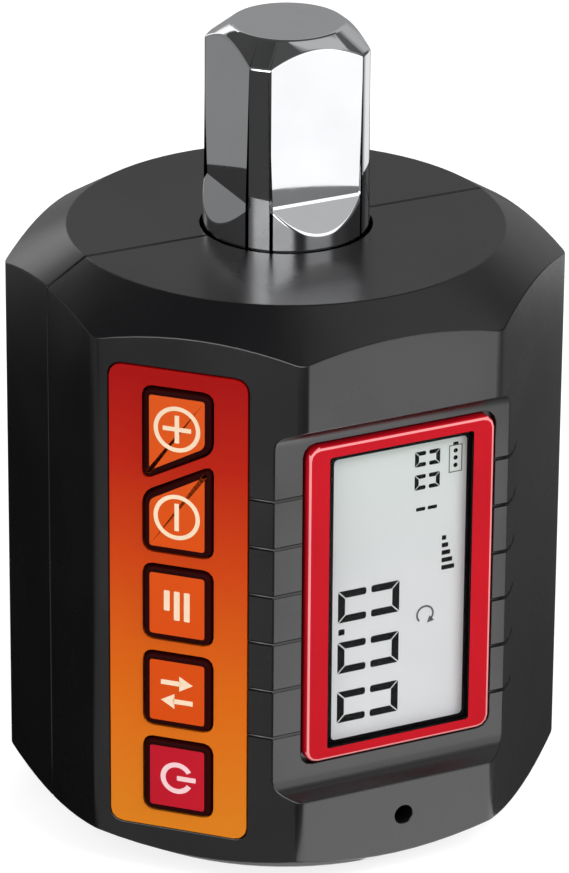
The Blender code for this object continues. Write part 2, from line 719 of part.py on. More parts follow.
def front_bosses():
    group = cut_group("front_bosses")
    collars(group)
    slope = PANEL_DRAFT + PANEL_WALL
    block(
        "panel_backing",
        (-APOTHEM, -APOTHEM, PANEL_BOTTOM - slope),
        (APOTHEM, -FRONT_INNER, PANEL_TOP + slope),
        group,
    )
    for number, (x, z) in enumerate(housing_screw_places()):
        end = -HOUSING_SCREW_LENGTH + HOUSING_SCREW_SEAT - FIT_GAP - COLLAR_WALL
        along_rear(f"front_boss_{number}", HOUSING_BOSS_DIAMETER / 2, x, z, end, SEAM_GAP, group)
    for name, facet, places, front in post_groups():
        for number, (x, z) in enumerate(places):
            post = cylinder(f"{name}_post_{number}", POST_DIAMETER / 2, front + SKIN_GAP, APOTHEM, group)
            place(post, facet, x, z, 0)
    return group


def front_cutters():
    group = cut_group("front_cutters")
    panel_cutter(group)
    reach = BEZEL_THICKNESS + CUT_MARGIN
    seat = panel(
        "bezel_seat",
        BEZEL_WIDTH + 2 * FIT_GAP,
        BEZEL_HEIGHT + 2 * FIT_GAP,
        reach,
        group,
        corner=BEZEL_CORNER,
    )
    place(seat, DISPLAY_FACET, DISPLAY_X, DISPLAY_Z, BEZEL_SEAT)
    opening = panel(
        "window_opening",
        LENS_WIDTH + 2 * FIT_GAP,
        LENS_HEIGHT + 2 * FIT_GAP,
        PANEL_WALL + 2 * CUT_MARGIN,
        group,
        corner=BEZEL_CORNER / 2,
    )
    place(opening, DISPLAY_FACET, DISPLAY_X, DISPLAY_Z, FRONT_INNER - CUT_MARGIN)
    port = cylinder("sounder_port", SOUNDER_PORT_DIAMETER / 2, 0, 2 * WALL, group)
    place(port, DISPLAY_FACET, DISPLAY_X, SOUNDER_Z, INNER_APOTHEM - CUT_MARGIN)
    pocket = panel(
        "label_pocket",
        LABEL_WIDTH + 2 * SKIN_GAP,
        LABEL_HEIGHT + 2 * SKIN_GAP,
        LABEL_THICKNESS + CUT_MARGIN,
        group,
        corner=LABEL_CORNER,
    )
    place(pocket, KEYPAD_FACET, KEYPAD_X, KEYPAD_Z, LABEL_FLOOR)
    for number, (x, z) in enumerate(housing_screw_places()):
        pilot = HOUSING_SCREW_SHANK / 2 + SKIN_GAP
        end = HOUSING_SCREW_SEAT - HOUSING_SCREW_LENGTH - FIT_GAP
        along_rear(f"pilot_{number}", pilot, x, z, end, CUT_MARGIN, group)
    for name, facet, places, front in post_groups():
        for number, (x, z) in enumerate(places):
            radius = POST_PILOT_DIAMETER / 2
            title = f"{name}_pilot_{number}"
            pilot = cylinder(title, radius, -CUT_MARGIN, PANEL_WALL, group, steps=SCREW_STEPS)
            place(pilot, facet, x, z, front)
    return group


def front_housing(passage, openings, pin_hole):
    shell = housing_half("front_housing", -1)
    boolean(shell, "DIFFERENCE", core_half("front_core", front_bosses()))
    boolean(shell, "DIFFERENCE", passage)
    boolean(shell, "DIFFERENCE", front_cutters())
    boolean(shell, "DIFFERENCE", openings)
    boolean(shell, "DIFFERENCE", pin_hole)
    grooves = cut_group("grooves")
    for number in range(GROOVE_COUNT):
        path = groove_path(LOWEST_GROOVE_Z + number * GROOVE_PITCH)
        tube(f"groove_{number}", path, GROOVE_WIDTH / 2, grooves, sides=1)
    boolean(shell, "DIFFERENCE", grooves)
    return shell


# Rear housing and battery cover

def rear_bosses():
    group = cut_group("rear_bosses")
    collars(group)
    for number, (x, z) in enumerate(housing_screw_places()):
        along_rear(f"rear_boss_{number}", HOUSING_BOSS_DIAMETER / 2, x, z, -SEAM_GAP, APOTHEM, group)
    side = CELL_X + CONTACT_SIZE / 2 + WALL
    inner = CELL_Y - CONTACT_SIZE / 2
    low = LOW_CONTACT_Z - FIT_GAP
    high = HIGH_CONTACT_Z + FIT_GAP
    block("low_contact_wall", (-side, inner, 0), (side, APOTHEM, low), group)
    block("high_contact_wall", (-side, inner, high), (side, APOTHEM, BODY_HEIGHT), group)
    depth = COVER_SCREW_LENGTH + COLLAR_WALL
    along_rear(
        "cover_boss", COVER_SCREW_SHANK, 0, COVER_SCREW_Z, COVER_INNER - depth, APOTHEM, group
    )
    return group


def rear_cutters():
    group = cut_group("rear_cutters")
    head = HOUSING_SCREW_HEAD / 2 + FIT_GAP
    shank = HOUSING_SCREW_SHANK / 2 + FIT_GAP
    for number, (x, z) in enumerate(housing_screw_places()):
        floor = HOUSING_SCREW_SEAT - SKIN_GAP
        along_rear(f"head_pocket_{number}", head, x, z, floor, APOTHEM + CUT_MARGIN, group)
        along_rear(f"shank_hole_{number}", shank, x, z, -CUT_MARGIN, floor + CUT_MARGIN, group)
    half = COVER_WIDTH / 2 + FIT_GAP
    seat = block(
        "cover_seat",
        (-half, INNER_APOTHEM / 2, COVER_BOTTOM - FIT_GAP),
        (half, APOTHEM + CUT_MARGIN, COVER_TAB_TOP + FIT_GAP),
        group,
    )
    depth = COVER_INNER - FIT_GAP
    inside = octagon("cover_seat_core", depth, -CUT_MARGIN, BODY_HEIGHT + CUT_MARGIN, CUTTERS)
    boolean(seat, "DIFFERENCE", inside)
    boolean(seat, "DIFFERENCE", cover_shoulders("seat_shoulder", FIT_GAP))
    block(
        "battery_opening",
        (-COVER_WIDTH / 2 + COVER_LEDGE, CELL_Y, CELL_BOTTOM - FIT_GAP),
        (COVER_WIDTH / 2 - COVER_LEDGE, APOTHEM + 2 * CUT_MARGIN, CELL_TOP + FIT_GAP),
        group,
    )
    along_rear(
        "cover_pilot",
        COVER_SCREW_SHANK / 2 + SKIN_GAP,
        0,
        COVER_SCREW_Z,
        COVER_INNER - COVER_SCREW_LENGTH,
        APOTHEM + 3 * CUT_MARGIN,
        group,
    )
    return group


def rear_housing(passage):
    shell = housing_half("rear_housing", 1)
    boolean(shell, "DIFFERENCE", core_half("rear_core", rear_bosses()))
    boolean(shell, "DIFFERENCE", passage)
    boolean(shell, "DIFFERENCE", rear_cutters())
    return shell


def cover_shoulders(name, gap):
    """What is cut away on both sides of the cover's screw tab. gap is how much larger the cover is taken."""
    group = cut_group(name + "s")
    near = COVER_TAB_WIDTH / 2 + gap
    far = COVER_WIDTH / 2 + CUT_MARGIN
    high = COVER_TAB_TOP + CUT_MARGIN
    block(name + "_left", (-far, 0, COVER_TOP + gap), (-near, APOTHEM + 2 * CUT_MARGIN, high), group)
    block(name + "_right", (near, 0, COVER_TOP + gap), (far, APOTHEM + 2 * CUT_MARGIN, high), group)
    return group


def battery_cover():
    """A piece of the shell's own outer form that wraps the rear facet and its corners, with a screw tab."""
    cover = octagon("battery_cover", APOTHEM, COVER_BOTTOM, COVER_TAB_TOP, PARTS, CORNER_FILLET, 1)
    cover.data.materials.append(BLACK_PLASTIC)
    window = block(
        "cover_window",
        (-COVER_WIDTH / 2, INNER_APOTHEM / 2, -CUT_MARGIN),
        (COVER_WIDTH / 2, APOTHEM + CUT_MARGIN, BODY_HEIGHT + CUT_MARGIN),
        CUTTERS,
    )
    boolean(cover, "INTERSECT", window)
    boolean(cover, "DIFFERENCE", octagon("cover_core", COVER_INNER, 0, BODY_HEIGHT, CUTTERS))
    boolean(cover, "DIFFERENCE", cover_shoulders("cover_shoulder", 0))
    hole = COVER_SCREW_SHANK / 2 + FIT_GAP
    head = COVER_SCREW_HEAD / 2 + FIT_GAP
    sink = along_rear(
        "cover_sink",
        head - COVER_THICKNESS * SINK_DEPTH,
        0,
        COVER_SCREW_Z,
        APOTHEM - COVER_THICKNESS * SINK_DEPTH,
        APOTHEM + SKIN_GAP,
        CUTTERS,
        end_radius=head + SKIN_GAP,
    )
    through = along_rear("cover_hole", hole, 0, COVER_SCREW_Z, INNER_APOTHEM, APOTHEM + CUT_MARGIN, CUTTERS)
    boolean(cover, "DIFFERENCE", sink)
    boolean(cover, "DIFFERENCE", through)
    return cover


# Screws

def screw_mesh(name, head, head_height, shank, length, sunk=False, steps=SCREW_STEPS):
    """A cross-recessed screw along local Z. Its head's underside, or a sunk head's flat top, is at zero."""
    if sunk:
        cone = (head - shank) / 2
        profile = [(0, 0), (head / 2, 0), (shank / 2, -cone), (shank / 2, -length), (0, -length)]
        top = 0
    else:
        crown = head_height * HEAD_CROWN
        profile = [
            (0, head_height),
            (head * HEAD_FLAT, head_height),
            (head / 2, head_height - crown),
            (head / 2, 0),
            (shank / 2, 0),
            (shank / 2, shank / 4 - length),
            (shank / 4, -length),
            (0, -length),
        ]
        top = head_height
    body = turned(name, profile, CUTTERS, STEEL, steps)
    arm = head * RECESS_ARM
    slot = head * RECESS_SLOT
    depth = head * RECESS_DEPTH
    for turn, (wide, high) in enumerate(((arm, slot), (slot, arm))):
        title = f"{name}_recess_{turn}"
        recess = block(title, (-wide, -high, top - depth), (wide, high, top + depth), CUTTERS)
        boolean(body, "DIFFERENCE", recess)
    return baked(body)


def housing_screws():
    mesh = screw_mesh(
        "housing_screw",
        HOUSING_SCREW_HEAD,
        HOUSING_SCREW_HEAD * HEAD_HEIGHT,
        HOUSING_SCREW_SHANK,
        HOUSING_SCREW_LENGTH,
    )
    for number, (x, z) in enumerate(housing_screw_places(), 1):
        place(add(f"housing_screw_{number}", mesh, PARTS), REAR_FACET, -x, z, HOUSING_SCREW_SEAT + SKIN_GAP)


def cover_screw():
    mesh = screw_mesh("cover_screw", COVER_SCREW_HEAD, 0, COVER_SCREW_SHANK, COVER_SCREW_LENGTH, sunk=True)
    place(add("battery_cover_screw", mesh, PARTS), REAR_FACET, 0, COVER_SCREW_Z, APOTHEM)


def board_screws():
    mesh = screw_mesh(
        "board_screw",
        SMALL_SCREW_HEAD,
        SMALL_SCREW_HEAD * HEAD_HEIGHT,
        SMALL_SCREW_SHANK,
        BOARD_THICKNESS + PANEL_WALL,
        steps=TINY_STEPS,
    )
    for name, facet, places, front in post_groups():
        for number, (x, z) in enumerate(places, 1):
            screw = add(f"{name}_board_screw_{number}", mesh, PARTS)
            place(screw, facet, x, z, front - BOARD_THICKNESS - SKIN_GAP)
            screw.rotation_euler = (math.pi, 0, 0)


# Torque shaft

def drive_envelope():
    """A square bar that widens below the flats, so that each flat ends in a sloping half moon on the bar."""
    half = DRIVE_SQUARE / 2
    wide = SOCKET_END_RADIUS + CUT_MARGIN
    steepness = HALF_MOON_DROP / (BAR_RADIUS - half)
    bm = bmesh.new()
    bmesh.ops.create_grid(bm, x_segments=1, y_segments=1, size=wide)
    bmesh.ops.translate(bm, vec=(0, 0, -CUT_MARGIN), verts=bm.verts)
    levels = (
        (FLAT_START_Z - (wide - half) * steepness, wide),
        (FLAT_START_Z, half),
        (SHAFT_TOP + CUT_MARGIN, half),
    )
    top = list(bm.faces)
    inside = []
    size = wide
    for z, reach in levels:
        grown = bmesh.ops.extrude_face_region(bm, geom=top)
        top = [item for item in grown["geom"] if isinstance(item, bmesh.types.BMFace)]
        inside.append(top)
        corners = [item for item in grown["geom"] if isinstance(item, bmesh.types.BMVert)]
        for vert in corners:
            vert.co = (vert.co.x * reach / size, vert.co.y * reach / size, z)
        size = reach
    for level in inside[:-1]:
        bmesh.ops.delete(bm, geom=level, context="FACES_ONLY")
    return from_bmesh("drive_envelope", bm, CUTTERS)


def ball_depth():
    """How far the ball's centre lies from the shaft's axis."""
    return DRIVE_SQUARE / 2 + BALL_PROUD - BALL_DIAMETER / 2


def torque_shaft(pin_hole):
    seal_z = BODY_HEIGHT - WALL / 2
    seal_groove = BAR_RADIUS - SEAL_SECTION + SKIN_GAP
    seal_half = SEAL_SECTION / 2 + SKIN_GAP
    ring_top = UPPER_RING_TOP + SKIN_GAP
    ring_bottom = UPPER_RING_TOP - RING_THICKNESS - SKIN_GAP
    low_ring_bottom = LOWER_RING_BOTTOM - SKIN_GAP
    low_ring_top = LOWER_RING_BOTTOM + RING_THICKNESS + SKIN_GAP
    shaft = turned(
        "torque_shaft",
        [
            (0, SHAFT_TOP),
            (DRIVE_SQUARE / 2 - DRIVE_END_STEP, SHAFT_TOP),
            (BAR_RADIUS, SHAFT_TOP - DRIVE_END_CONE),
            (BAR_RADIUS, seal_z + seal_half),
            (seal_groove, seal_z + seal_half),
            (seal_groove, seal_z - seal_half),
            (BAR_RADIUS, seal_z - seal_half),
            (BAR_RADIUS, ring_top),
            (BAR_RADIUS - RING_GROOVE_DEPTH, ring_top),
            (BAR_RADIUS - RING_GROOVE_DEPTH, ring_bottom),
            (BAR_RADIUS, ring_bottom),
            (BAR_RADIUS, WAIST_TOP + WAIST_TAPER),
            (WAIST_RADIUS, WAIST_TOP),
            (WAIST_RADIUS, WAIST_BOTTOM),
            (SOCKET_END_RADIUS, SOCKET_END_LENGTH),
            (SOCKET_END_RADIUS, low_ring_top),
            (SOCKET_END_RADIUS - RING_GROOVE_DEPTH, low_ring_top),
            (SOCKET_END_RADIUS - RING_GROOVE_DEPTH, low_ring_bottom),
            (SOCKET_END_RADIUS, low_ring_bottom),
            (SOCKET_END_RADIUS, SHAFT_BOTTOM + FIT_GAP),
            (SOCKET_END_RADIUS - FIT_GAP, SHAFT_BOTTOM),
            (0, SHAFT_BOTTOM),
        ],
        PARTS,
        CHROME,
    )
    boolean(shaft, "INTERSECT", drive_envelope())
    hollows = cut_group("shaft_hollows")
    side = DRIVE_SQUARE + 2 * SOCKET_CLEARANCE
    panel("socket", side, side, SOCKET_DEPTH + CUT_MARGIN, hollows, corner=SOCKET_CORNER).location.z = (
        SHAFT_BOTTOM - CUT_MARGIN
    )
    catch = side / 2 + SOCKET_CATCH_DEPTH
    middle = SOCKET_DEPTH / 2
    cylinder(
        "socket_catch",
        catch,
        middle - SOCKET_CATCH_WIDTH / 2,
        middle + SOCKET_CATCH_WIDTH / 2,
        hollows,
        steps=TURN_STEPS,
    )
    lip = ball_depth() + BALL_DIAMETER / 2 - BALL_PROUD - BALL_LIP
    ball_z = SHAFT_TOP - BALL_BELOW_TOP
    bore = BALL_DIAMETER / 2 + SKIN_GAP
    mouth = math.sqrt((BALL_DIAMETER / 2) ** 2 - (lip - ball_depth()) ** 2) + SKIN_GAP
    along_rear("ball_bore", bore, 0, ball_z, DRIVE_SQUARE / 2 - BALL_BORE_DEPTH, lip, hollows)
    along_rear("ball_mouth", mouth, 0, ball_z, ball_depth(), BAR_RADIUS, hollows)
    boolean(shaft, "DIFFERENCE", hollows)
    boolean(shaft, "DIFFERENCE", pin_hole)
    return shaft


def spring_ball():
    """The ball that snaps into a socket's groove, and the coil that pushes it out."""
    depth = ball_depth()
    ball_z = SHAFT_TOP - BALL_BELOW_TOP
    bm = bmesh.new()
    bmesh.ops.create_uvsphere(bm, u_segments=BALL_SEGMENTS, v_segments=BALL_RINGS, radius=BALL_DIAMETER / 2)
    ball = from_bmesh("detent_ball", bm, PARTS, STEEL)
    smooth(ball)
    place(ball, REAR_FACET, 0, ball_z, depth)
    bottom = DRIVE_SQUARE / 2 - BALL_BORE_DEPTH + FIT_GAP + SPRING_WIRE / 2
    top = depth - BALL_DIAMETER / 2 - SKIN_GAP - SPRING_WIRE / 2
    radius = (SPRING_DIAMETER - SPRING_WIRE) / 2
    steps = SPRING_TURNS * SPRING_STEPS
    points = []
    for step in range(steps + 1):
        turn = 2 * math.pi * SPRING_TURNS * step / steps
        height = bottom + (top - bottom) * step / steps
        points.append((radius * math.cos(turn), radius * math.sin(turn), height))
    spring = tube("detent_spring", points, SPRING_WIRE / 2, PARTS, STEEL, sides=1)
    place(spring, REAR_FACET, 0, ball_z, 0)


def locking_pin():
    """The radial pin that keeps the housing from turning on the shaft, and the hole it sits in."""
    outer = LOWER_BUSH_RADIUS + FIT_GAP + COLLAR_WALL
    z = LOWER_SEAT_TOP - LOWER_BUSH_LENGTH / 2
    inner = outer - PIN_LENGTH - FIT_GAP
    hole = cylinder("pin_hole", PIN_DIAMETER / 2 + SKIN_GAP, inner, outer + FIT_GAP, CUTTERS)
    place(hole, DISPLAY_FACET, 0, z, 0)
    pin = cylinder("locking_pin", PIN_DIAMETER / 2, outer - PIN_LENGTH, outer, PARTS, STEEL)
    place(pin, DISPLAY_FACET, 0, z, 0)
    return hole


def shaft_fittings(pin_hole):
    """The bushes, retaining rings, seal and strain gauges that sit on the shaft."""
    turned_ring(
        "upper_bush",
        BAR_RADIUS + RUNNING_GAP,
        UPPER_BUSH_RADIUS,
        UPPER_SEAT_TOP - FIT_GAP - UPPER_BUSH_LENGTH,
        UPPER_SEAT_TOP - FIT_GAP,
        PARTS,
        BRONZE,
        COLLAR_STEPS,
    )
    lower = turned_ring(
        "lower_bush",
        SOCKET_END_RADIUS + RUNNING_GAP,
        LOWER_BUSH_RADIUS,
        LOWER_SEAT_BOTTOM + FIT_GAP,
        LOWER_SEAT_TOP,
        PARTS,
        BRONZE,
        COLLAR_STEPS,
    )
    boolean(lower, "DIFFERENCE", pin_hole)
    retaining_ring("upper_retaining_ring", BAR_RADIUS, UPPER_RING_TOP - RING_THICKNESS)
    retaining_ring("lower_retaining_ring", SOCKET_END_RADIUS, LOWER_RING_BOTTOM)
    seal_radius = BAR_RADIUS + SKIN_GAP - SEAL_SECTION / 2
    bpy.ops.mesh.primitive_torus_add(
        major_radius=seal_radius,
        minor_radius=SEAL_SECTION / 2 - SKIN_GAP / 2,
        major_segments=SEAL_STEPS,
        minor_segments=SEAL_SECTION_STEPS,
        location=(0, 0, BODY_HEIGHT - WALL / 2),
    )
    seal = bpy.context.object
    seal.name = "shaft_seal"
    for group in list(seal.users_collection):
        group.objects.unlink(seal)
    PARTS.objects.link(seal)
    seal.data.materials.append(SEAL_RUBBER)
    seal.data.shade_smooth()
    middle = (WAIST_BOTTOM + WAIST_TOP) / 2
    for name, side in (("strain_gauge_front", -90), ("strain_gauge_rear", 90)):
        strain_gauge(name, side, middle)


def retaining_ring(name, shaft_radius, bottom):
    """A split ring in its groove, with the opening towards +X."""
    ring = turned_ring(
        name,
        shaft_radius - RING_GROOVE_DEPTH + SKIN_GAP,
        shaft_radius + RING_WALL - RING_GROOVE_DEPTH,
        bottom,
        bottom + RING_THICKNESS,
        PARTS,
        STEEL,
        COLLAR_STEPS,
    )
    gap = RING_WALL
    reach = shaft_radius + RING_WALL
    top = bottom + RING_THICKNESS + CUT_MARGIN
    slot = block(name + "_slot", (0, -gap, bottom - CUT_MARGIN), (reach, gap, top), CUTTERS)
    boolean(ring, "DIFFERENCE", slot)


def strain_gauge(name, side, z):
    """A foil patch bonded round the waist, as a short arc of a thin ring."""
    inner = WAIST_RADIUS + SKIN_GAP
    outer = inner + GAUGE_THICKNESS
    half = GAUGE_WIDTH / 2 / inner
    bm = bmesh.new()
    arc = []
    for step in range(7):
        turn = math.radians(side) - half + 2 * half * step / 6
        arc.append(bm.verts.new((inner * math.cos(turn), inner * math.sin(turn), z - GAUGE_LENGTH / 2)))
    line = [bm.edges.new(pair) for pair in zip(arc, arc[1:])]
    sheet = bmesh.ops.extrude_edge_only(bm, edges=line)
    lifted = [item for item in sheet["geom"] if isinstance(item, bmesh.types.BMVert)]
    bmesh.ops.translate(bm, vec=(0, 0, GAUGE_LENGTH), verts=lifted)
    face_side = sum((face.calc_center_median() for face in bm.faces), Vector()) / len(bm.faces)
    bmesh.ops.recalc_face_normals(bm, faces=bm.faces)
    if bm.faces[0].normal.dot(Vector((face_side.x, face_side.y, 0))) < 0:
        bmesh.ops.reverse_faces(bm, faces=bm.faces)
    data = bpy.data.meshes.new(name)
    bm.to_mesh(data)
    bm.free()
    patch = add(name, data, PARTS, GAUGE_FOIL)
    wall = patch.modifiers.new("thickness", "SOLIDIFY")
    wall.thickness = outer - inner
    wall.offset = 1.0


# Display and main board

def display_parts():
    """The window sits in the back of the bezel, and the display lies right behind it."""
    bezel = panel(
        "display_bezel",
        BEZEL_WIDTH,
        BEZEL_HEIGHT,
        BEZEL_THICKNESS,
        PARTS,
        RED_PLASTIC,
        BEZEL_CORNER,
        BEZEL_THICKNESS / 4,
    )
    place(bezel, DISPLAY_FACET, DISPLAY_X, DISPLAY_Z, BEZEL_BACK)
    hole = panel(
        "bezel_window",
        WINDOW_WIDTH,
        WINDOW_HEIGHT,
        BEZEL_THICKNESS + 2 * CUT_MARGIN,
        CUTTERS,
        corner=BEZEL_CORNER / 4,
    )
    place(hole, DISPLAY_FACET, DISPLAY_X, DISPLAY_Z, BEZEL_BACK - CUT_MARGIN)
    boolean(bezel, "DIFFERENCE", hole)
    rebate = panel(
        "bezel_rebate",
        LENS_WIDTH + 2 * SKIN_GAP,
        LENS_HEIGHT + 2 * SKIN_GAP,
        LENS_FRONT + SKIN_GAP - BEZEL_BACK + CUT_MARGIN,
        CUTTERS,
    )
    place(rebate, DISPLAY_FACET, DISPLAY_X, DISPLAY_Z, BEZEL_BACK - CUT_MARGIN)
    boolean(bezel, "DIFFERENCE", rebate)
    lens = panel("display_window", LENS_WIDTH, LENS_HEIGHT, WINDOW_THICKNESS, PARTS, CLEAR_WINDOW)
    place(lens, DISPLAY_FACET, DISPLAY_X, DISPLAY_Z, BEZEL_BACK)
    lcd = panel("lcd_module", LENS_WIDTH, LENS_HEIGHT, LCD_THICKNESS, PARTS, LCD_GREY)
    place(lcd, DISPLAY_FACET, DISPLAY_X, DISPLAY_Z, LCD_BACK)


def boards():
    holes = cut_group("board_holes")
    for name, facet, places, front in post_groups():
        for number, (x, z) in enumerate(places):
            title = f"{name}_board_hole_{number}"
            radius = POST_PILOT_DIAMETER / 2
            hole = cylinder(title, radius, -CUT_MARGIN, CUT_MARGIN, holes, steps=SCREW_STEPS)
            place(hole, facet, x, z, front - BOARD_THICKNESS / 2)
    main = panel("main_board", MAIN_BOARD_WIDTH, MAIN_BOARD_HEIGHT, BOARD_THICKNESS, PARTS, BOARD_GREEN)
    place(main, DISPLAY_FACET, DISPLAY_X, MAIN_BOARD_Z, MAIN_BOARD_FRONT - BOARD_THICKNESS)
    boolean(main, "DIFFERENCE", holes)
    keys = panel("key_board", KEY_BOARD_WIDTH, KEY_BOARD_HEIGHT, BOARD_THICKNESS, PARTS, BOARD_GREEN)
    place(keys, KEYPAD_FACET, KEY_BOARD_X, KEYPAD_Z, KEY_BOARD_FRONT - BOARD_THICKNESS)
    boolean(keys, "DIFFERENCE", holes)
    back = MAIN_BOARD_FRONT - BOARD_THICKNESS - SKIN_GAP - CHIP_THICKNESS
    for name, width, height, z in (
        ("controller_chip", CONTROLLER_SIZE, CONTROLLER_SIZE, MAIN_BOARD_Z + CONTROLLER_ABOVE_MIDDLE),
        ("gauge_amplifier", AMPLIFIER_WIDTH, AMPLIFIER_HEIGHT, MAIN_BOARD_Z - AMPLIFIER_BELOW_MIDDLE),
    ):
        chip = panel(name, width, height, CHIP_THICKNESS, PARTS, CHIP_BLACK, rim=CHIP_EDGE)
        place(chip, DISPLAY_FACET, DISPLAY_X, z, back)
    sounder = panel("sounder", SOUNDER_SIZE, SOUNDER_SIZE, SOUNDER_THICKNESS, PARTS, CHIP_BLACK, rim=SKIN_GAP)
    place(sounder, DISPLAY_FACET, DISPLAY_X, SOUNDER_Z, LCD_BACK)


# Keypad

def keypad(openings):
    label = panel(
        "keypad_overlay", LABEL_WIDTH, LABEL_HEIGHT, LABEL_THICKNESS, PARTS, ORANGE_LABEL, LABEL_CORNER
    )
    place(label, KEYPAD_FACET, KEYPAD_X, KEYPAD_Z, LABEL_FLOOR + SKIN_GAP)
    boolean(label, "DIFFERENCE", openings)
    for number, (name, left, right) in enumerate(key_spans(), 1):
        colour = CRIMSON_KEY if name == "key_power" else ORANGE_KEY
        key = key_plate(name, left, right, KEY_FLANGE, FLANGE_THICKNESS, PARTS, colour)
        base = FLANGE_TOP - FLANGE_THICKNESS
        place(key, KEYPAD_FACET, KEYPAD_X, 0, base)
        cap_start = base + FLANGE_THICKNESS / 2
        cap = key_plate(
            name + "_cap", left, right, -KEY_CLEARANCE, KEY_TOP - cap_start, CUTTERS, rim=KEY_PROUD
        )
        place(cap, KEYPAD_FACET, KEYPAD_X, 0, cap_start)
        boolean(key, "UNION", cap)
        middle = (sum(left) + sum(right)) / 4
        top = base + FLANGE_THICKNESS / 2
        plunger = cylinder(
            name + "_plunger", PLUNGER_DIAMETER / 2, PLUNGER_END, top, CUTTERS, steps=SCREW_STEPS
        )
        place(plunger, KEYPAD_FACET, KEYPAD_X, middle, 0)
        boolean(key, "UNION", plunger)
        dome = turned(
            f"dome_switch_{number}",
            [
                (0, DOME_HEIGHT),
                (DOME_DIAMETER * DOME_TOP_RADIUS, DOME_HEIGHT * DOME_TOP_HEIGHT),
                (DOME_DIAMETER * DOME_SIDE_RADIUS, DOME_HEIGHT * DOME_SIDE_HEIGHT),
                (DOME_DIAMETER / 2, 0),
                (0, 0),
            ],
            PARTS,
            STEEL,
            SCREW_STEPS,
        )
        place(dome, KEYPAD_FACET, KEYPAD_X, middle, KEY_BOARD_FRONT + SKIN_GAP)


# Batteries and contacts

def batteries():
    """Two cells side by side, the left one with its nub up and the right one with its nub down."""
    edge = CELL_NUB_HEIGHT / 2
    profile = [
        (0, CELL_LENGTH / 2),
        (CELL_NUB_DIAMETER / 2, CELL_LENGTH / 2),
        (CELL_NUB_DIAMETER / 2, CELL_LENGTH / 2 - CELL_NUB_HEIGHT),
        (CELL_RADIUS - edge, CELL_LENGTH / 2 - CELL_NUB_HEIGHT),
        (CELL_RADIUS, CELL_LENGTH / 2 - CELL_NUB_HEIGHT - edge),
        (CELL_RADIUS, edge - CELL_LENGTH / 2),
        (CELL_RADIUS - edge, -CELL_LENGTH / 2),
        (0, -CELL_LENGTH / 2),
    ]
    mesh = baked(turned("cell", profile, CUTTERS, CELL_JACKET, SMALL_STEPS))
    for name, side, turn in (("battery_1", -1, 0), ("battery_2", 1, math.pi)):
        cell = add(name, mesh, PARTS)
        cell.location = (side * CELL_X, CELL_Y, CELL_BOTTOM + CELL_LENGTH / 2)
        cell.rotation_euler = (turn, 0, 0)


def contact(name, places, width, z, turned_down):
    """A plate with a coned spring under each cell end that it serves."""
    plate_of = panel(name, width, CONTACT_SIZE, CONTACT_THICKNESS, PARTS, STEEL)
    plate_of.location = (sum(places) / len(places), CELL_Y, z)
    turn = math.pi if turned_down else 0
    plate_of.rotation_euler.x = turn
    for number, x in enumerate(places):
        cone = cylinder(
            f"{name}_cone_{number}",
            CONTACT_SIZE * CONE_FOOT,
            CONTACT_THICKNESS / 2,
            CONTACT_HEIGHT,
            CUTTERS,
            steps=SCREW_STEPS,
            top_radius=CONTACT_SIZE * CONE_TIP,
        )
        cone.location = (x, CELL_Y, z)
        cone.rotation_euler.x = turn
        boolean(plate_of, "UNION", cone)


def contacts():
    contact("battery_bridge_contact", (-CELL_X, CELL_X), 2 * CELL_X + CONTACT_SIZE, LOW_CONTACT_Z, False)
    contact("battery_plus_contact", (-CELL_X,), CONTACT_SIZE, HIGH_CONTACT_Z, True)
    contact("battery_minus_contact", (CELL_X,), CONTACT_SIZE, HIGH_CONTACT_Z, True)


def build():
    passage = shaft_passage()
    openings = key_openings()
    pin_hole = locking_pin()
    front_housing(passage, openings, pin_hole)
    rear_housing(passage)
    battery_cover()
    housing_screws()
    cover_screw()
    torque_shaft(pin_hole)
    spring_ball()
    shaft_fittings(pin_hole)
    display_parts()
    boards()
    board_screws()
    keypad(openings)
    batteries()
    contacts()


build()
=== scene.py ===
# %% [markdown]
# # A digital torque adapter
#
# This adapter goes between a ratchet and a socket and shows how hard the ratchet turns. It has a steel
# shaft with a male square on top and a square hole below, an eight-sided plastic body round it, a small
# display with a red bezel, and a strip of five printed keys. The solids come ready made, in metres, with +Z
# up. This lesson dresses them: it softens their edges, adds what is printed or too fine for the solids, and
# gives every piece a finish that is made of nodes.

# %% Load the solids
import json
import math

import bpy
from mathutils import Matrix, Vector

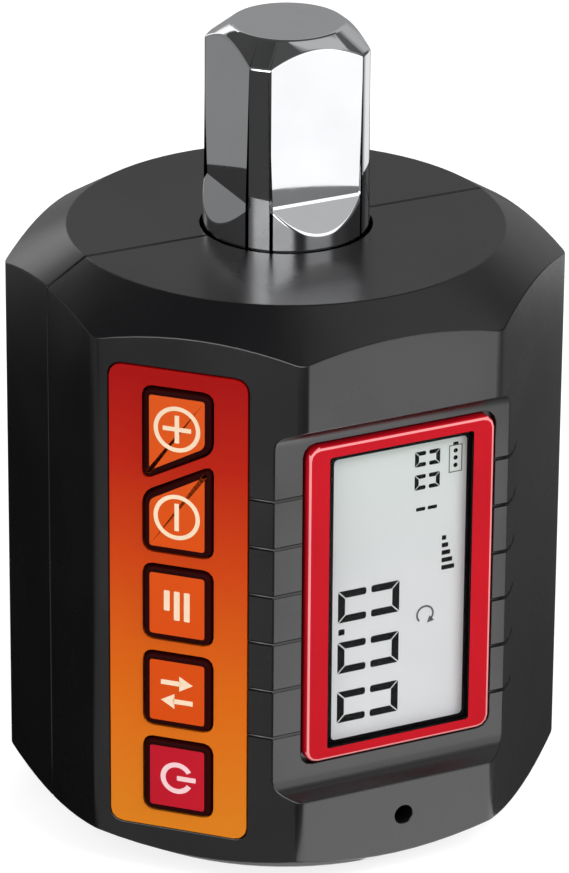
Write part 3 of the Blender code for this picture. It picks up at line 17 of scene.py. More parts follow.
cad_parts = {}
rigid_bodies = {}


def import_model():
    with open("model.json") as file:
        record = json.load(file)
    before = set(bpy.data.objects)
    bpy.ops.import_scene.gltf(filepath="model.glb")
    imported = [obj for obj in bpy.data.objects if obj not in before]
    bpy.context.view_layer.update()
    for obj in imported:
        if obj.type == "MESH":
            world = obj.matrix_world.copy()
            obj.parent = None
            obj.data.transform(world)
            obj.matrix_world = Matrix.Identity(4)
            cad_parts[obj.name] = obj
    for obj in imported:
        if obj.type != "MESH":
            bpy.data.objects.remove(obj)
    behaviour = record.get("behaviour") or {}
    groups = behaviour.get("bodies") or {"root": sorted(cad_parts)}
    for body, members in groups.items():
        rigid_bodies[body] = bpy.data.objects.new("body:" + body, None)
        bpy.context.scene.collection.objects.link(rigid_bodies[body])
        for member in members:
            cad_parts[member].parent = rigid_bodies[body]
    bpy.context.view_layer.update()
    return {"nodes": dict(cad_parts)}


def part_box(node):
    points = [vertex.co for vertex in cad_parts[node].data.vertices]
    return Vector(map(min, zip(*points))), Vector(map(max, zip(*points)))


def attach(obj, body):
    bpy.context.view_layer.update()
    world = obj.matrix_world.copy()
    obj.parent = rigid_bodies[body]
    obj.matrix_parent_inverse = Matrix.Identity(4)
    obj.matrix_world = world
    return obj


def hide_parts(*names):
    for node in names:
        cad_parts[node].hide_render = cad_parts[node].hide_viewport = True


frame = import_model()
NODES = frame["nodes"]
MM = 0.001

# %% [markdown]
# ## Places on the body
#
# The body is a prism with eight flat sides, so most pieces are placed on a facet: so far across it, so
# high, and so far out from the shaft's axis. A facet is named by the angle of its outward side. The display
# is at 0 degrees, the keypad at -45 and the battery cover at 180. One turn takes a piece that was made
# lying down, its front upwards, and stands it on a facet.

# %% A point and a turn on a facet
DISPLAY = math.radians(0)
KEYPAD = math.radians(-45)
REAR = math.radians(180)


def facet_turn(facet):
    """The turn that stands a piece on a facet: its X runs across, its Y up and its Z outwards."""
    return Matrix.Rotation(facet, 3, "Z") @ Matrix.Rotation(math.pi / 2, 3, "X")


def on_facet(facet, across, up, out):
    """The point at this place on a facet. The place is in millimetres."""
    return facet_turn(facet) @ Vector((across, up, out)) * MM


def span_on_facet(node, facet):
    """The lowest and the highest place (across, up, out) that a solid reaches on a facet, in millimetres."""
    back = facet_turn(facet).inverted()
    places = [back @ vert.co / MM for vert in NODES[node].data.vertices]
    low = Vector([min(place[axis] for place in places) for axis in range(3)])
    high = Vector([max(place[axis] for place in places) for axis in range(3)])
    return low, high


BEZEL_OUT = span_on_facet("display_bezel", DISPLAY)[1].z
WINDOW_LOW, WINDOW_HIGH = span_on_facet("display_window", DISPLAY)
LCD_OUT = span_on_facet("lcd_module", DISPLAY)[1].z
print("the bezel stands", round(BEZEL_OUT - LCD_OUT, 2), "mm in front of the display")

# %% [markdown]
# ## Working as by hand
#
# Operators act on what is selected. So each step here deselects everything, opens one piece, and selects
# the faces, edges or points to work on by their place. `finish` puts a piece's place into its mesh, gives
# it its material, and says which body it rides on.

# %% Select, open and close
TINY = 0.00002


def clear_selection():
    if bpy.context.object and bpy.context.object.mode != "OBJECT":
        bpy.ops.object.mode_set(mode="OBJECT")
    bpy.ops.object.select_all(action="DESELECT")


def only(piece):
    """Makes a piece the only one selected."""
    clear_selection()
    piece.select_set(True)
    bpy.context.view_layer.objects.active = piece


def named(name):
    """The primitive or copy that was just added, under its own name."""
    piece = bpy.context.object
    piece.name = name
    piece.data.name = name
    return piece


def open_empty(piece, kind):
    """Opens a piece in edit mode to select faces, edges or points, with nothing selected, and closes it."""
    only(piece)
    bpy.ops.object.mode_set(mode="EDIT")
    bpy.ops.mesh.select_mode(type=kind)
    bpy.ops.mesh.select_all(action="DESELECT")
    bpy.ops.object.mode_set(mode="OBJECT")


def pick_faces(piece, test):
    """Opens a piece with only the faces selected for which test(centre, normal) is true."""
    open_empty(piece, "FACE")
    for face in piece.data.polygons:
        face.select = test(face.center, face.normal)
    bpy.ops.object.mode_set(mode="EDIT")


def pick_edges(piece, test):
    """Opens a piece with only the edges selected for which test(one end, other end) is true."""
    open_empty(piece, "EDGE")
    ends = [vert.co for vert in piece.data.vertices]
    for edge in piece.data.edges:
        edge.select = test(ends[edge.vertices[0]], ends[edge.vertices[1]])
    bpy.ops.object.mode_set(mode="EDIT")


def pick_points(piece, test):
    """Opens a piece with only the points selected for which test(place) is true."""
    open_empty(piece, "VERT")
    for vert in piece.data.vertices:
        vert.select = test(vert.co)
    bpy.ops.object.mode_set(mode="EDIT")


def pick_all(piece):
    only(piece)
    bpy.ops.object.mode_set(mode="EDIT")
    bpy.ops.mesh.select_mode(type="FACE")
    bpy.ops.mesh.select_all(action="SELECT")


def back_to_object():
    bpy.ops.object.mode_set(mode="OBJECT")


# %% Apply, cut, smooth, copy, join and finish
def apply_place(piece):
    only(piece)
    bpy.ops.object.transform_apply(location=True, rotation=True, scale=True)


def apply_modifiers(piece):
    only(piece)
    for modifier in list(piece.modifiers):
        bpy.ops.object.modifier_apply(modifier=modifier.name)


def thrown_away(piece):
    only(piece)
    bpy.ops.object.delete()


def cut(piece, tool, operation="DIFFERENCE"):
    """Cuts a piece with a tool, or keeps only what both share, and throws the tool away."""
    modifier = piece.modifiers.new("cut", "BOOLEAN")
    modifier.operation = operation
    modifier.solver = "EXACT"
    modifier.object = tool
    apply_modifiers(piece)
    thrown_away(tool)


def smooth(piece, angle=30):
    only(piece)
    bpy.ops.object.shade_smooth_by_angle(angle=math.radians(angle))


def even_shading(piece):
    """Large flat faces keep a flat look next to small rounded ones."""
    even = piece.modifiers.new("even shading", "WEIGHTED_NORMAL")
    even.keep_sharp = True
    even.weight = 80
    apply_modifiers(piece)


def copied(piece, name):
    """A copy with its own mesh."""
    only(piece)
    bpy.ops.object.duplicate(linked=False)
    return named(name)


def joined(pieces, name):
    """Several pieces as one."""
    only(pieces[0])
    for piece in pieces:
        piece.select_set(True)
    bpy.ops.object.join()
    return named(name)


def laid(piece, facet, across, up, out, roll=0.0):
    """Stands a piece that was made lying down on a facet. roll turns it there, seen from outside."""
    piece.rotation_euler = (facet_turn(facet) @ Matrix.Rotation(roll, 3, "Z")).to_euler()
    piece.location = on_facet(facet, across, up, out)


def finish(piece, finish_of, body="root"):
    """Puts a piece's place into its mesh, gives it its finish and lets it ride on a body."""
    apply_place(piece)
    if finish_of is not None:
        piece.data.materials.clear()
        piece.data.materials.append(finish_of)
    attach(piece, body)


# %% [markdown]
# ## The camera
#
# The photograph looks down on the adapter from its left, with a long lens, so upright edges stay nearly
# parallel, and the camera leans by less than half a degree. Its place was worked out from the solids, by
# fitting measured points of the picture.

# %% Set up the camera
EYE = Vector((-226.3, -460.4, 262.7)) * MM
LOOK_AT = Vector((-0.97, -1.97, 37.07)) * MM
LENS = 237.9
SENSOR = 36.0
ROLL = math.radians(0.43)

clear_selection()
bpy.ops.object.camera_add(location=EYE)
camera = named("photo_camera")
camera.rotation_euler = (LOOK_AT - EYE).to_track_quat("-Z", "Y").to_euler()
camera.rotation_euler.rotate_axis("Z", ROLL)
camera.data.lens = LENS
camera.data.sensor_width = SENSOR
camera.data.clip_end = 20
bpy.context.scene.camera = camera
bpy.context.scene.view_settings.view_transform = "Standard"
print("the camera is", round((LOOK_AT - EYE).length, 3), "m from the adapter")

# %% [markdown]
# ## Materials from nodes
#
# Every material here is a small tree of nodes round a Principled shader. A few helpers keep such trees short.
# They make a material, add a node with its inputs already set or linked, and build what is needed most: a sum,
# a range, a noise and a colour ramp.

# %% Helpers for node trees
def new_material(name):
    """A material with its node tree and its Principled shader."""
    made = bpy.data.materials.new(name)
    made.use_nodes = True
    tree = made.node_tree
    return made, tree, tree.nodes["Principled BSDF"]


def give(tree, socket, value):
    """Links a socket to another one, or sets it to a value."""
    if isinstance(value, bpy.types.NodeSocket):
        tree.links.new(value, socket)
    else:
        socket.default_value = value


def add_node(tree, kind, settings=None, **inputs):
    """A node of this kind. settings are its properties. inputs go by name, or by number as i0, i1."""
    node = tree.nodes.new(kind)
    for key, value in (settings or {}).items():
        setattr(node, key, value)
    for key, value in inputs.items():
        numbered = key[0] == "i" and key[1:].isdigit()
        socket = node.inputs[int(key[1:])] if numbered else node.inputs[key.replace("_", " ")]
        give(tree, socket, value)
    return node


def maths(tree, operation, first, second):
    return add_node(tree, "ShaderNodeMath", {"operation": operation}, i0=first, i1=second).outputs["Value"]


def ranged(tree, value, low, high, from_low=0.0, from_high=1.0):
    """Maps a number between two limits to one between two others."""
    limits = {"From_Min": from_low, "From_Max": from_high, "To_Min": low, "To_Max": high}
    return add_node(tree, "ShaderNodeMapRange", Value=value, **limits).outputs["Result"]


def noise(tree, place, scale, detail):
    return add_node(tree, "ShaderNodeTexNoise", Vector=place, Scale=scale, Detail=detail).outputs["Fac"]


def position(tree):
    """The place on the piece, in metres, from the object's own coordinates."""
    return tree.nodes.new("ShaderNodeTexCoord").outputs["Object"]


def ramp(tree, factor, *stops):
    """A colour ramp. Each stop is a place and a colour."""
    node = tree.nodes.new("ShaderNodeValToRGB")
    tree.links.new(factor, node.inputs["Fac"])
    marks = node.color_ramp.elements
    marks[0].position, marks[0].color = stops[0][0], (*stops[0][1], 1)
    marks[1].position, marks[1].color = stops[-1][0], (*stops[-1][1], 1)
    for place, colour in stops[1:-1]:
        marks.new(place).color = (*colour, 1)
    return node.outputs["Color"]


# %% [markdown]
# ## The floor and the room
#
# The adapter stands on a plain pale floor, larger than any view of it, in a plain white room. Two light
# levels meet here. For the light that falls on the adapter, floor and room are pale grey, as real ones are.
# For what the camera sees, directly or in metal and glass, a little light of their own lifts them to white.
# The floor still takes the adapter's shadow, because only part of what is seen of it is that light.

# %% Floor and room
FLOOR_SIZE = 6.0
FLOOR_GREY = 0.70
FLOOR_SEEN = 0.34
FLOOR_LIFT = 0.80
ROOM_GREY = 0.42
SPECKLE = 0.01


def seen_directly(tree):
    """1 for what the camera sees, also in a mirror or through glass, and 0 for light on its way."""
    path = tree.nodes.new("ShaderNodeLightPath")
    either = maths(tree, "MAXIMUM", path.outputs["Is Camera Ray"], path.outputs["Is Glossy Ray"])
    return maths(tree, "MAXIMUM", either, path.outputs["Is Transmission Ray"])


clear_selection()
bpy.ops.mesh.primitive_grid_add(x_subdivisions=24, y_subdivisions=24, size=FLOOR_SIZE, location=(0, 0, 0))
floor = named("floor")
paint, tree, shader = new_material("pale_floor")
speckle = maths(tree, "MULTIPLY", noise(tree, position(tree), 60.0, 3.0), SPECKLE)
seen = seen_directly(tree)
grey = maths(tree, "ADD", ranged(tree, seen, FLOOR_GREY, FLOOR_SEEN), speckle)
tree.links.new(grey, shader.inputs["Base Color"])
tree.links.new(maths(tree, "MULTIPLY", seen, FLOOR_LIFT), shader.inputs["Emission Strength"])
shader.inputs["Emission Color"].default_value = (1, 1, 1, 1)
shader.inputs["Roughness"].default_value = 0.9
shader.inputs["Specular IOR Level"].default_value = 0.0
floor.data.materials.append(paint)

room = bpy.data.worlds.new("pale_room")
bpy.context.scene.world = room
room.use_nodes = True
tree = room.node_tree
backdrop = tree.nodes["Background"]
backdrop.inputs["Color"].default_value = (1, 1, 1, 1)
tree.links.new(ranged(tree, seen_directly(tree), ROOM_GREY, 1.0), backdrop.inputs["Strength"])
print("the floor is", FLOOR_SIZE, "m wide")

# %% [markdown]
# ## Soft boxes
#
# Three soft boxes light the adapter: a large one in front on the right, a weaker one on the left, and one
# behind that draws the rear edges. They are hidden from reflections, because what gloss plastic and chrome
# show is shaped separately.

# %% The soft boxes
SOFT_BOXES = {
    "key_box": ((0.26, -0.52, 0.50), (0.40, 0.40), 3.9),
    "fill_box": ((-0.60, -0.30, 0.45), (0.50, 0.50), 2.5),
    "back_box": ((0.25, 0.60, 0.55), (0.60, 0.25), 2.2),
}
LIGHT_AIM = Vector((0, 0, 0.035))


def soft_box(name, place, size, power):
    clear_selection()
    bpy.ops.object.light_add(type="AREA", location=place)
    lamp = bpy.context.object
    lamp.name = name
    lamp.data.shape = "RECTANGLE"
    lamp.data.size, lamp.data.size_y = size
    lamp.data.energy = power
    lamp.rotation_euler = (LIGHT_AIM - Vector(place)).to_track_quat("-Z", "Y").to_euler()
    lamp.visible_glossy = False


for name, facts in SOFT_BOXES.items():
    soft_box(name, *facts)
print(len(SOFT_BOXES), "soft boxes")

# %% [markdown]
# ## Cards for the reflections
#
# Chrome has no colour of its own, and black gloss plastic has hardly any: both look like what stands round
# them. A photographer shapes that with bright and dark cards, and so does this scene. The cards are a ring
# lying just above the floor, a wider one round it, a wall in two storeys and a lid. Each glows by its
# direction round the adapter, which a radial gradient gives as a number: 0.25 lies in front of the display,
# 0.125 in front of the keypad. The cards are seen only in reflections, cast no shadow and light nothing.

# %% The reflection cards
GLOW = 4.0
CARD_STEPS = 96
CARD_HEIGHT = 0.3
NEAR_IN, NEAR_OUT = 29, 140
WALL_RADIUS = 300
WALL_SPLIT = 200
LID_HEIGHT = 305
NEAR_CARD = [
    (0.00, 0.28), (0.10, 0.28), (0.14, 0.05), (0.26, 0.05), (0.30, 0.28), (0.70, 0.28), (0.75, 0.02),
    (0.95, 0.02), (1.00, 0.28),
]
FAR_CARD = [
    (0.00, 0.27), (0.02, 0.05), (0.27, 0.05), (0.285, 1.15), (0.38, 1.15), (0.40, 0.30), (0.53, 0.30),
    (0.55, 0.90), (0.60, 0.90), (0.62, 0.27), (0.75, 0.27), (0.80, 0.24), (1.00, 0.27),
]
LOW_WALL = [
    (0.00, 0.22), (0.04, 0.08), (0.06, 3.20), (0.20, 3.20), (0.21, 0.10), (0.25, 0.10), (0.26, 1.40),
    (0.35, 1.40), (0.36, 0.10), (0.55, 0.10), (0.57, 0.45), (0.60, 0.45), (0.63, 0.31), (0.74, 0.31),
    (0.76, 1.25), (0.78, 1.25), (0.79, 0.22), (1.00, 0.22),
]
HIGH_WALL = [
    (0.00, 0.15), (0.24, 0.06), (0.26, 0.52), (0.40, 0.52), (0.44, 0.10), (0.55, 0.10), (0.57, 0.45),
    (0.60, 0.45), (0.63, 0.42), (0.73, 0.42), (0.76, 1.25), (0.78, 1.25), (0.787, 0.06), (1.00, 0.06),
]
LID_CARD = [(0.00, 0.08), (0.31, 0.08), (0.37, 0.50), (0.52, 0.50), (0.56, 0.08), (1.00, 0.05)]


def in_metres(place):
    return tuple(part * MM for part in place)


def circle(name, radius, steps, place=(0, 0, 0), turn=0.0, fill="NGON"):
    """A circle lying down. Radius and place in millimetres."""
    clear_selection()
    bpy.ops.mesh.primitive_circle_add(
        vertices=steps, radius=radius * MM, fill_type=fill, location=in_metres(place), rotation=(0, 0, turn)
    )
    piece = named(name)
    apply_place(piece)
    return piece


def pull(way):
    """Pulls out what is selected, so many millimetres each way."""
    bpy.ops.mesh.extrude_region_move(TRANSFORM_OT_translate={"value": in_metres(way)})


def faced_out():
    """Turns every face outwards and closes the piece."""
    bpy.ops.mesh.select_all(action="SELECT")
    bpy.ops.mesh.normals_make_consistent(inside=False)
    back_to_object()


def hollowed(piece, rim):
    """Leaves only the rim of a flat piece."""
    pick_all(piece)
    bpy.ops.mesh.inset(thickness=rim * MM, depth=0)
    bpy.ops.mesh.delete(type="FACE")
    back_to_object()
    return piece


def card_glow(name, stops):
    """A light that changes with the direction. Each stop is a direction and a brightness."""
    made, tree, shader = new_material(name)
    round_it = add_node(tree, "ShaderNodeTexGradient", {"gradient_type": "RADIAL"}, Vector=position(tree))
    colours = ramp(tree, round_it.outputs["Fac"], *((place, (level / GLOW,) * 3) for place, level in stops))
    glow = add_node(tree, "ShaderNodeEmission", Color=colours, Strength=GLOW)
    tree.links.new(glow.outputs["Emission"], tree.nodes["Material Output"].inputs["Surface"])
    return made


def only_in_reflections(piece, stops):
    piece.data.materials.append(card_glow(piece.name, stops))
    piece.visible_camera = False
    piece.visible_diffuse = False
    piece.visible_shadow = False
    piece.visible_transmission = False


def disc_card(name, inner, outer, height, stops):
    """A flat ring, or a full disc where inner is nothing. Sizes in millimetres."""
    piece = circle(name, outer, CARD_STEPS, (0, 0, height))
    if inner:
        hollowed(piece, outer - inner)
    only_in_reflections(piece, stops)


def wall_card(name, low, high, stops):
    piece = circle(name, WALL_RADIUS, CARD_STEPS, (0, 0, low), fill="NOTHING")
    pick_edges(piece, lambda one, other: True)
    pull((0, 0, high - low))
    back_to_object()
    only_in_reflections(piece, stops)


disc_card("near_card", NEAR_IN, NEAR_OUT, CARD_HEIGHT, NEAR_CARD)
disc_card("far_card", NEAR_OUT, WALL_RADIUS, CARD_HEIGHT, FAR_CARD)
wall_card("low_wall", CARD_HEIGHT, WALL_SPLIT, LOW_WALL)
wall_card("high_wall", WALL_SPLIT, LID_HEIGHT, HIGH_WALL)
disc_card("lid_card", 0, WALL_RADIUS, LID_HEIGHT, LID_CARD)

# %% [markdown]
# What a facet shows lies on the floor in front of it, in the direction in which the camera's line of sight
# is thrown back. So each facet that the camera sees gets its own strip of card on the floor, which starts
# at its foot and widens outwards.

# %% A strip of card for each facet
STRIP_LENGTH = 150
STRIP_BACK = 12.0
FACET_OUT = 25.0
STRIPS = {
    "display_strip": (0, 14.5, 26.0, 1.75),
    "keypad_strip": (-45, 11.5, 20.0, 0.30),
    "right_strip": (45, 7.0, 14.0, 0.10),
    "left_strip": (-90, 9.0, 22.0, 0.01),
}


def flat_plate(name, width, height, across=0.0, up=0.0):
    """A flat rectangle, lying with its front upwards. Sizes and place in millimetres."""
    clear_selection()
    bpy.ops.mesh.primitive_plane_add(size=1, location=(across * MM, up * MM, 0))
    piece = named(name)
    piece.scale = (width * MM, height * MM, 1)
    apply_place(piece)
    return piece


def round_corners(piece, radius, segments):
    """Rounds the corners of a flat piece. The radius is in millimetres."""
    pick_points(piece, lambda place: True)
    bpy.ops.mesh.bevel(offset=radius * MM, segments=segments, affect="VERTICES")
    back_to_object()


def widened(across, up):
    """Widens what is selected, seen from the origin."""
    bpy.ops.transform.resize(value=(across, up, 1), center_override=(0, 0, 0))


def strip_card(name, facet, near_half, far_half, level):
    """A strip that starts under a facet. near_half and far_half are half its width at both ends."""
    outward = on_facet(math.radians(facet), 0, 0, 1).normalized()
    sight = (LOOK_AT - EYE).to_2d().normalized().to_3d()
    thrown = sight - 2 * sight.dot(outward) * outward
    piece = flat_plate(name, 2 * near_half, STRIP_LENGTH)
    pick_points(piece, lambda place: place.y > 0)
    widened(far_half / near_half, 1)
    back_to_object()
    piece.rotation_euler.z = math.atan2(thrown.y, thrown.x) - math.pi / 2
    middle = outward * FACET_OUT + thrown * (STRIP_LENGTH / 2 - STRIP_BACK)
    piece.location = (middle + Vector((0, 0, 2 * CARD_HEIGHT))) * MM
    apply_place(piece)
    only_in_reflections(piece, [(0.0, level), (1.0, level)])


for name, facts in STRIPS.items():
    strip_card(name, *facts)
print("five cards and", len(STRIPS), "strips")

# %% [markdown]
# ## Effects that several finishes share
#
# Moulded plastic isn't glass-smooth: the mould leaves a fine grain, and handling leaves slow, cloudy
# changes of gloss. Turned metal has fine rings, and plated metal a faint haze. Each effect is a node group
# that is built once. It puts out a height for the bump and a mask for colour and roughness, and each
# material takes them by its own amounts.

# %% The node groups
RING_PITCH = 5200.0


def new_group(name, inputs, outputs):
    """An empty group with named number sockets."""
    group = bpy.data.node_groups.new(name, "ShaderNodeTree")
    for label, value in inputs:
        socket = group.interface.new_socket(name=label, in_out="INPUT", socket_type="NodeSocketFloat")
        socket.default_value = value
    for label in outputs:
        group.interface.new_socket(name=label, in_out="OUTPUT", socket_type="NodeSocketFloat")
    return group, group.nodes.new("NodeGroupInput"), group.nodes.new("NodeGroupOutput")


def moulded_grain():
    """Fine grain of a mould, and a slow cloud of handling."""
    sizes = [("Grain size", 9000.0), ("Cloud size", 90.0)]
    group, given, out = new_group("moulded_grain", sizes, ["Height", "Cloud"])
    place = position(group)
    group.links.new(noise(group, place, given.outputs["Grain size"], 2.0), out.inputs["Height"])
    group.links.new(noise(group, place, given.outputs["Cloud size"], 4.0), out.inputs["Cloud"])
    return group


def turned_rings():
    """Rings of a lathe round the Z axis, and a haze over them."""
    sizes = [("Ring pitch", RING_PITCH), ("Haze size", 160.0)]
    group, given, out = new_group("turned_rings", sizes, ["Height", "Haze"])
    place = position(group)
    long_way = add_node(group, "ShaderNodeMapping", Vector=place, Scale=(0.02, 0.02, 1.0)).outputs["Vector"]
    group.links.new(noise(group, long_way, given.outputs["Ring pitch"], 3.0), out.inputs["Height"])
    group.links.new(noise(group, place, given.outputs["Haze size"], 4.0), out.inputs["Haze"])
    return group


GRAIN = moulded_grain()
RINGS = turned_rings()


def use_group(tree, group, **inputs):
    node = tree.nodes.new("ShaderNodeGroup")
    node.node_tree = group
    for key, value in inputs.items():
        node.inputs[key.replace("_", " ")].default_value = value
    return node


def spread(tree, value, low, high):
    """Maps a noise's middle range to a range of values."""
    return ranged(tree, value, low, high, 0.3, 0.7)


def bump(tree, shader, height, distance):
    """Gives a shader a relief. distance is its depth in metres."""
    node = add_node(tree, "ShaderNodeBump", Height=height, Distance=distance)
    tree.links.new(node.outputs["Normal"], shader.inputs["Normal"])


def mixed(tree, factor, first, second):
    """A mix of two colours, each a socket or three numbers."""
    node = add_node(tree, "ShaderNodeMix", {"data_type": "RGBA"}, Factor=factor)
    for number, value in ((6, first), (7, second)):
        give(tree, node.inputs[number], value if isinstance(value, bpy.types.NodeSocket) else (*value, 1))
    return node.outputs[2]


print("groups:", GRAIN.name, "and", RINGS.name)

# %% [markdown]
# ## Finishes
#
# Two recipes cover most pieces. A plastic has a colour with a slight cloud, the mould's grain as bump, and
# a roughness that wanders a little. A metal has a tint, its lathe rings and haze, and a low roughness.

# %% Plastics
CLOUD_SHADE = 0.88


def plastic(name, colour, roughness, level=0.5, grain=0.000004, wander=0.05, size=9000.0):
    """Moulded plastic. level is how strongly it shines, grain the depth of its relief in metres."""
    made, tree, shader = new_material(name)
    effect = use_group(tree, GRAIN, Grain_size=size)
    cloud = effect.outputs["Cloud"]
    darker = tuple(channel * CLOUD_SHADE for channel in colour)
    tree.links.new(mixed(tree, spread(tree, cloud, 0.0, 1.0), darker, colour), shader.inputs["Base Color"])
    tree.links.new(spread(tree, cloud, roughness - wander, roughness + wander), shader.inputs["Roughness"])
    shader.inputs["Specular IOR Level"].default_value = level
    bump(tree, shader, effect.outputs["Height"], grain)
    return made


HOUSING_BLACK = plastic("housing_black", (0.0046, 0.0044, 0.0054), 0.26, level=0.80, grain=0.0000025)
COVER_BLACK = plastic("cover_black", (0.0046, 0.0044, 0.0054), 0.32, level=0.75, grain=0.000003)
SEAL_RUBBER = plastic("seal_rubber", (0.012, 0.012, 0.012), 0.75, level=0.3, grain=0.000006)
CHIP_BLACK = plastic("chip_black", (0.016, 0.016, 0.017), 0.55, grain=0.000006, size=14000.0)
BEZEL_RED = plastic("bezel_red", (0.520, 0.0050, 0.0140), 0.42, level=0.06, grain=0.0000015, wander=0.04)
# The light pink below is a painted highlight for the bezel's rounded outer edge, not a colour of its plastic.
BEZEL_PAINTED_HIGHLIGHT = plastic("bezel_painted_highlight", (0.900, 0.300, 0.310), 0.35, level=0.20, grain=0.000001)
KEY_EDGE = plastic("key_edge", (0.020, 0.0010, 0.0010), 0.50, level=0.04, grain=0.000002)
# The black below is ink for the display's figures, and also painted shade on the bezel's inner walls and
# painted shadow round the display.
INK_AND_SHADE_BLACK = plastic("ink_and_shade_black", (0.0035, 0.0035, 0.0040), 0.60, level=0.04, grain=0.000001)
INK_GREY = plastic("ink_grey", (0.150, 0.155, 0.150), 0.60, level=0.04, grain=0.000001)
KEY_CRIMSON = plastic("key_crimson", (0.530, 0.0060, 0.0210), 0.40, level=0.10, grain=0.000002)
LEGEND_CREAM = plastic("legend_cream", (0.960, 0.740, 0.520), 0.50, level=0.08, grain=0.000001, wander=0.03)
LEGEND_PINK = plastic("legend_pink", (0.960, 0.640, 0.660), 0.50, level=0.08, grain=0.000001, wander=0.03)
print("plastics and inks:", len(bpy.data.materials))

# %% Metals
HAZE_SHADE = 0.94


def metal(name, colour, roughness, depth=0.000001, wander=0.04):
    """Metal that was turned or plated. depth is how deep its rings are, in metres."""
    made, tree, shader = new_material(name)
    effect = use_group(tree, RINGS)
    haze = effect.outputs["Haze"]
    darker = tuple(channel * HAZE_SHADE for channel in colour)
    tree.links.new(mixed(tree, spread(tree, haze, 0.0, 1.0), darker, colour), shader.inputs["Base Color"])
    smoothest = max(roughness - wander, 0.02)
    tree.links.new(spread(tree, haze, smoothest, roughness + wander), shader.inputs["Roughness"])
    shader.inputs["Metallic"].default_value = 1.0
    bump(tree, shader, effect.outputs["Height"], depth)
    return made


CHROME = metal("bright_chrome", (0.86, 0.87, 0.89), 0.045, wander=0.02, depth=0.0000003)
ZINC = metal("zinc_screw", (0.58, 0.59, 0.60), 0.30)
SPRING_STEEL = metal("spring_steel", (0.42, 0.42, 0.43), 0.25)
BALL_STEEL = metal("polished_ball", (0.74, 0.75, 0.77), 0.08, wander=0.03)
BRONZE = metal("sintered_bronze", (0.52, 0.33, 0.14), 0.42, depth=0.000004, wander=0.08)
NICKEL = metal("nickel_contact", (0.66, 0.63, 0.57), 0.22)
print("metals: chrome, zinc, spring steel, ball steel, bronze and nickel")

# %% [markdown]
# The label is printed from red at its top to orange at its foot, and the keys are a warmer orange of the
# same ink. The run of colour follows the height on the body, so it is a ramp on Z. The cloud bends it a
# little, as ink on film does, and the grain gives the film its soft sheen.

# %% Printed inks
LABEL_LOW, LABEL_HIGH = (corner.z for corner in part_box("keypad_overlay"))
INK_WOBBLE = 0.03
INK_ROUGHNESS = (0.38, 0.46)


def height_share(tree, low, high):
    """How high a point lies between two heights, from 0 to 1."""
    parts = add_node(tree, "ShaderNodeSeparateXYZ", Vector=position(tree))
    return ranged(tree, parts.outputs["Z"], 0.0, 1.0, low, high)


def printed(name, stops):
    """Ink that changes colour with height, on film with a fine grain."""
    made, tree, shader = new_material(name)
    effect = use_group(tree, GRAIN, Grain_size=6000.0, Cloud_size=120.0)
    cloud = effect.outputs["Cloud"]
    wobble = maths(tree, "MULTIPLY", cloud, INK_WOBBLE)
    place = maths(tree, "ADD", height_share(tree, LABEL_LOW, LABEL_HIGH), wobble)
    tree.links.new(ramp(tree, place, *stops), shader.inputs["Base Color"])
    tree.links.new(spread(tree, cloud, *INK_ROUGHNESS), shader.inputs["Roughness"])
    shader.inputs["Specular IOR Level"].default_value = 0.08
    bump(tree, shader, effect.outputs["Height"], 0.0000012)
    return made


LABEL_INK = printed("label_ink", [
    (0.02, (0.720, 0.215, 0.010)),
    (0.30, (0.700, 0.140, 0.004)),
    (0.60, (0.590, 0.054, 0.002)),
    (0.82, (0.450, 0.012, 0.002)),
    (1.00, (0.350, 0.002, 0.002)),
])
KEY_ORANGE = printed("key_orange", [
    (0.2, (0.670, 0.070, 0.002)),
    (0.6, (0.680, 0.075, 0.003)),
    (1.0, (0.680, 0.090, 0.008)),
])
print("label printed from", round(LABEL_LOW / MM, 1), "to", round(LABEL_HIGH / MM, 1), "mm")

# %% [markdown]
# The display is a clear window over a grey reflector. The window is coated against reflections, so it is
# nearly invisible: a thin film of gloss with most of its surface left transparent. The reflector is a
# little greener at its top and has the silky grain of a polariser.

# %% Window and reflector
WINDOW_SHEEN = 0.06


def window_film():
    """Coated glass: mostly see-through, with a faint shine that wanders."""
    made, tree, shader = new_material("window_film")
    effect = use_group(tree, GRAIN, Grain_size=700.0, Cloud_size=60.0)
    cloud = effect.outputs["Cloud"]
    tree.links.new(spread(tree, cloud, 0.04, 0.10), shader.inputs["Roughness"])
    tint = mixed(tree, cloud, (0.010, 0.011, 0.011), (0.014, 0.015, 0.015))
    tree.links.new(tint, shader.inputs["Base Color"])
    tree.links.new(spread(tree, cloud, WINDOW_SHEEN * 0.8, WINDOW_SHEEN * 1.2), shader.inputs["Alpha"])
    shader.inputs["Specular IOR Level"].default_value = 0.5
    return made


def reflector():
    """The silvery ground behind the digits."""
    made, tree, shader = new_material("lcd_reflector")
    effect = use_group(tree, GRAIN, Grain_size=16000.0, Cloud_size=45.0)
    low, high = WINDOW_LOW.y * MM, WINDOW_HIGH.y * MM
    ground = ramp(
        tree, height_share(tree, low, high), (0.0, (0.79, 0.80, 0.82)), (0.5, (0.75, 0.76, 0.77)),
        (1.0, (0.665, 0.725, 0.695)),
    )
    veil = maths(tree, "MULTIPLY", effect.outputs["Cloud"], 0.12)
    tree.links.new(mixed(tree, veil, ground, (0.58, 0.62, 0.62)), shader.inputs["Base Color"])
    tree.links.new(spread(tree, effect.outputs["Cloud"], 0.42, 0.55), shader.inputs["Roughness"])
    shader.inputs["Specular IOR Level"].default_value = 0.10
    bump(tree, shader, effect.outputs["Height"], 0.000001)
    return made


WINDOW_FILM = window_film()
REFLECTOR = reflector()

# %% [markdown]
# Inside are things nobody sees until the shells come off: green boards with copper tracks, foil gauges and
# two cells. Tracks are a brick pattern stretched into long thin lines, under the green varnish.

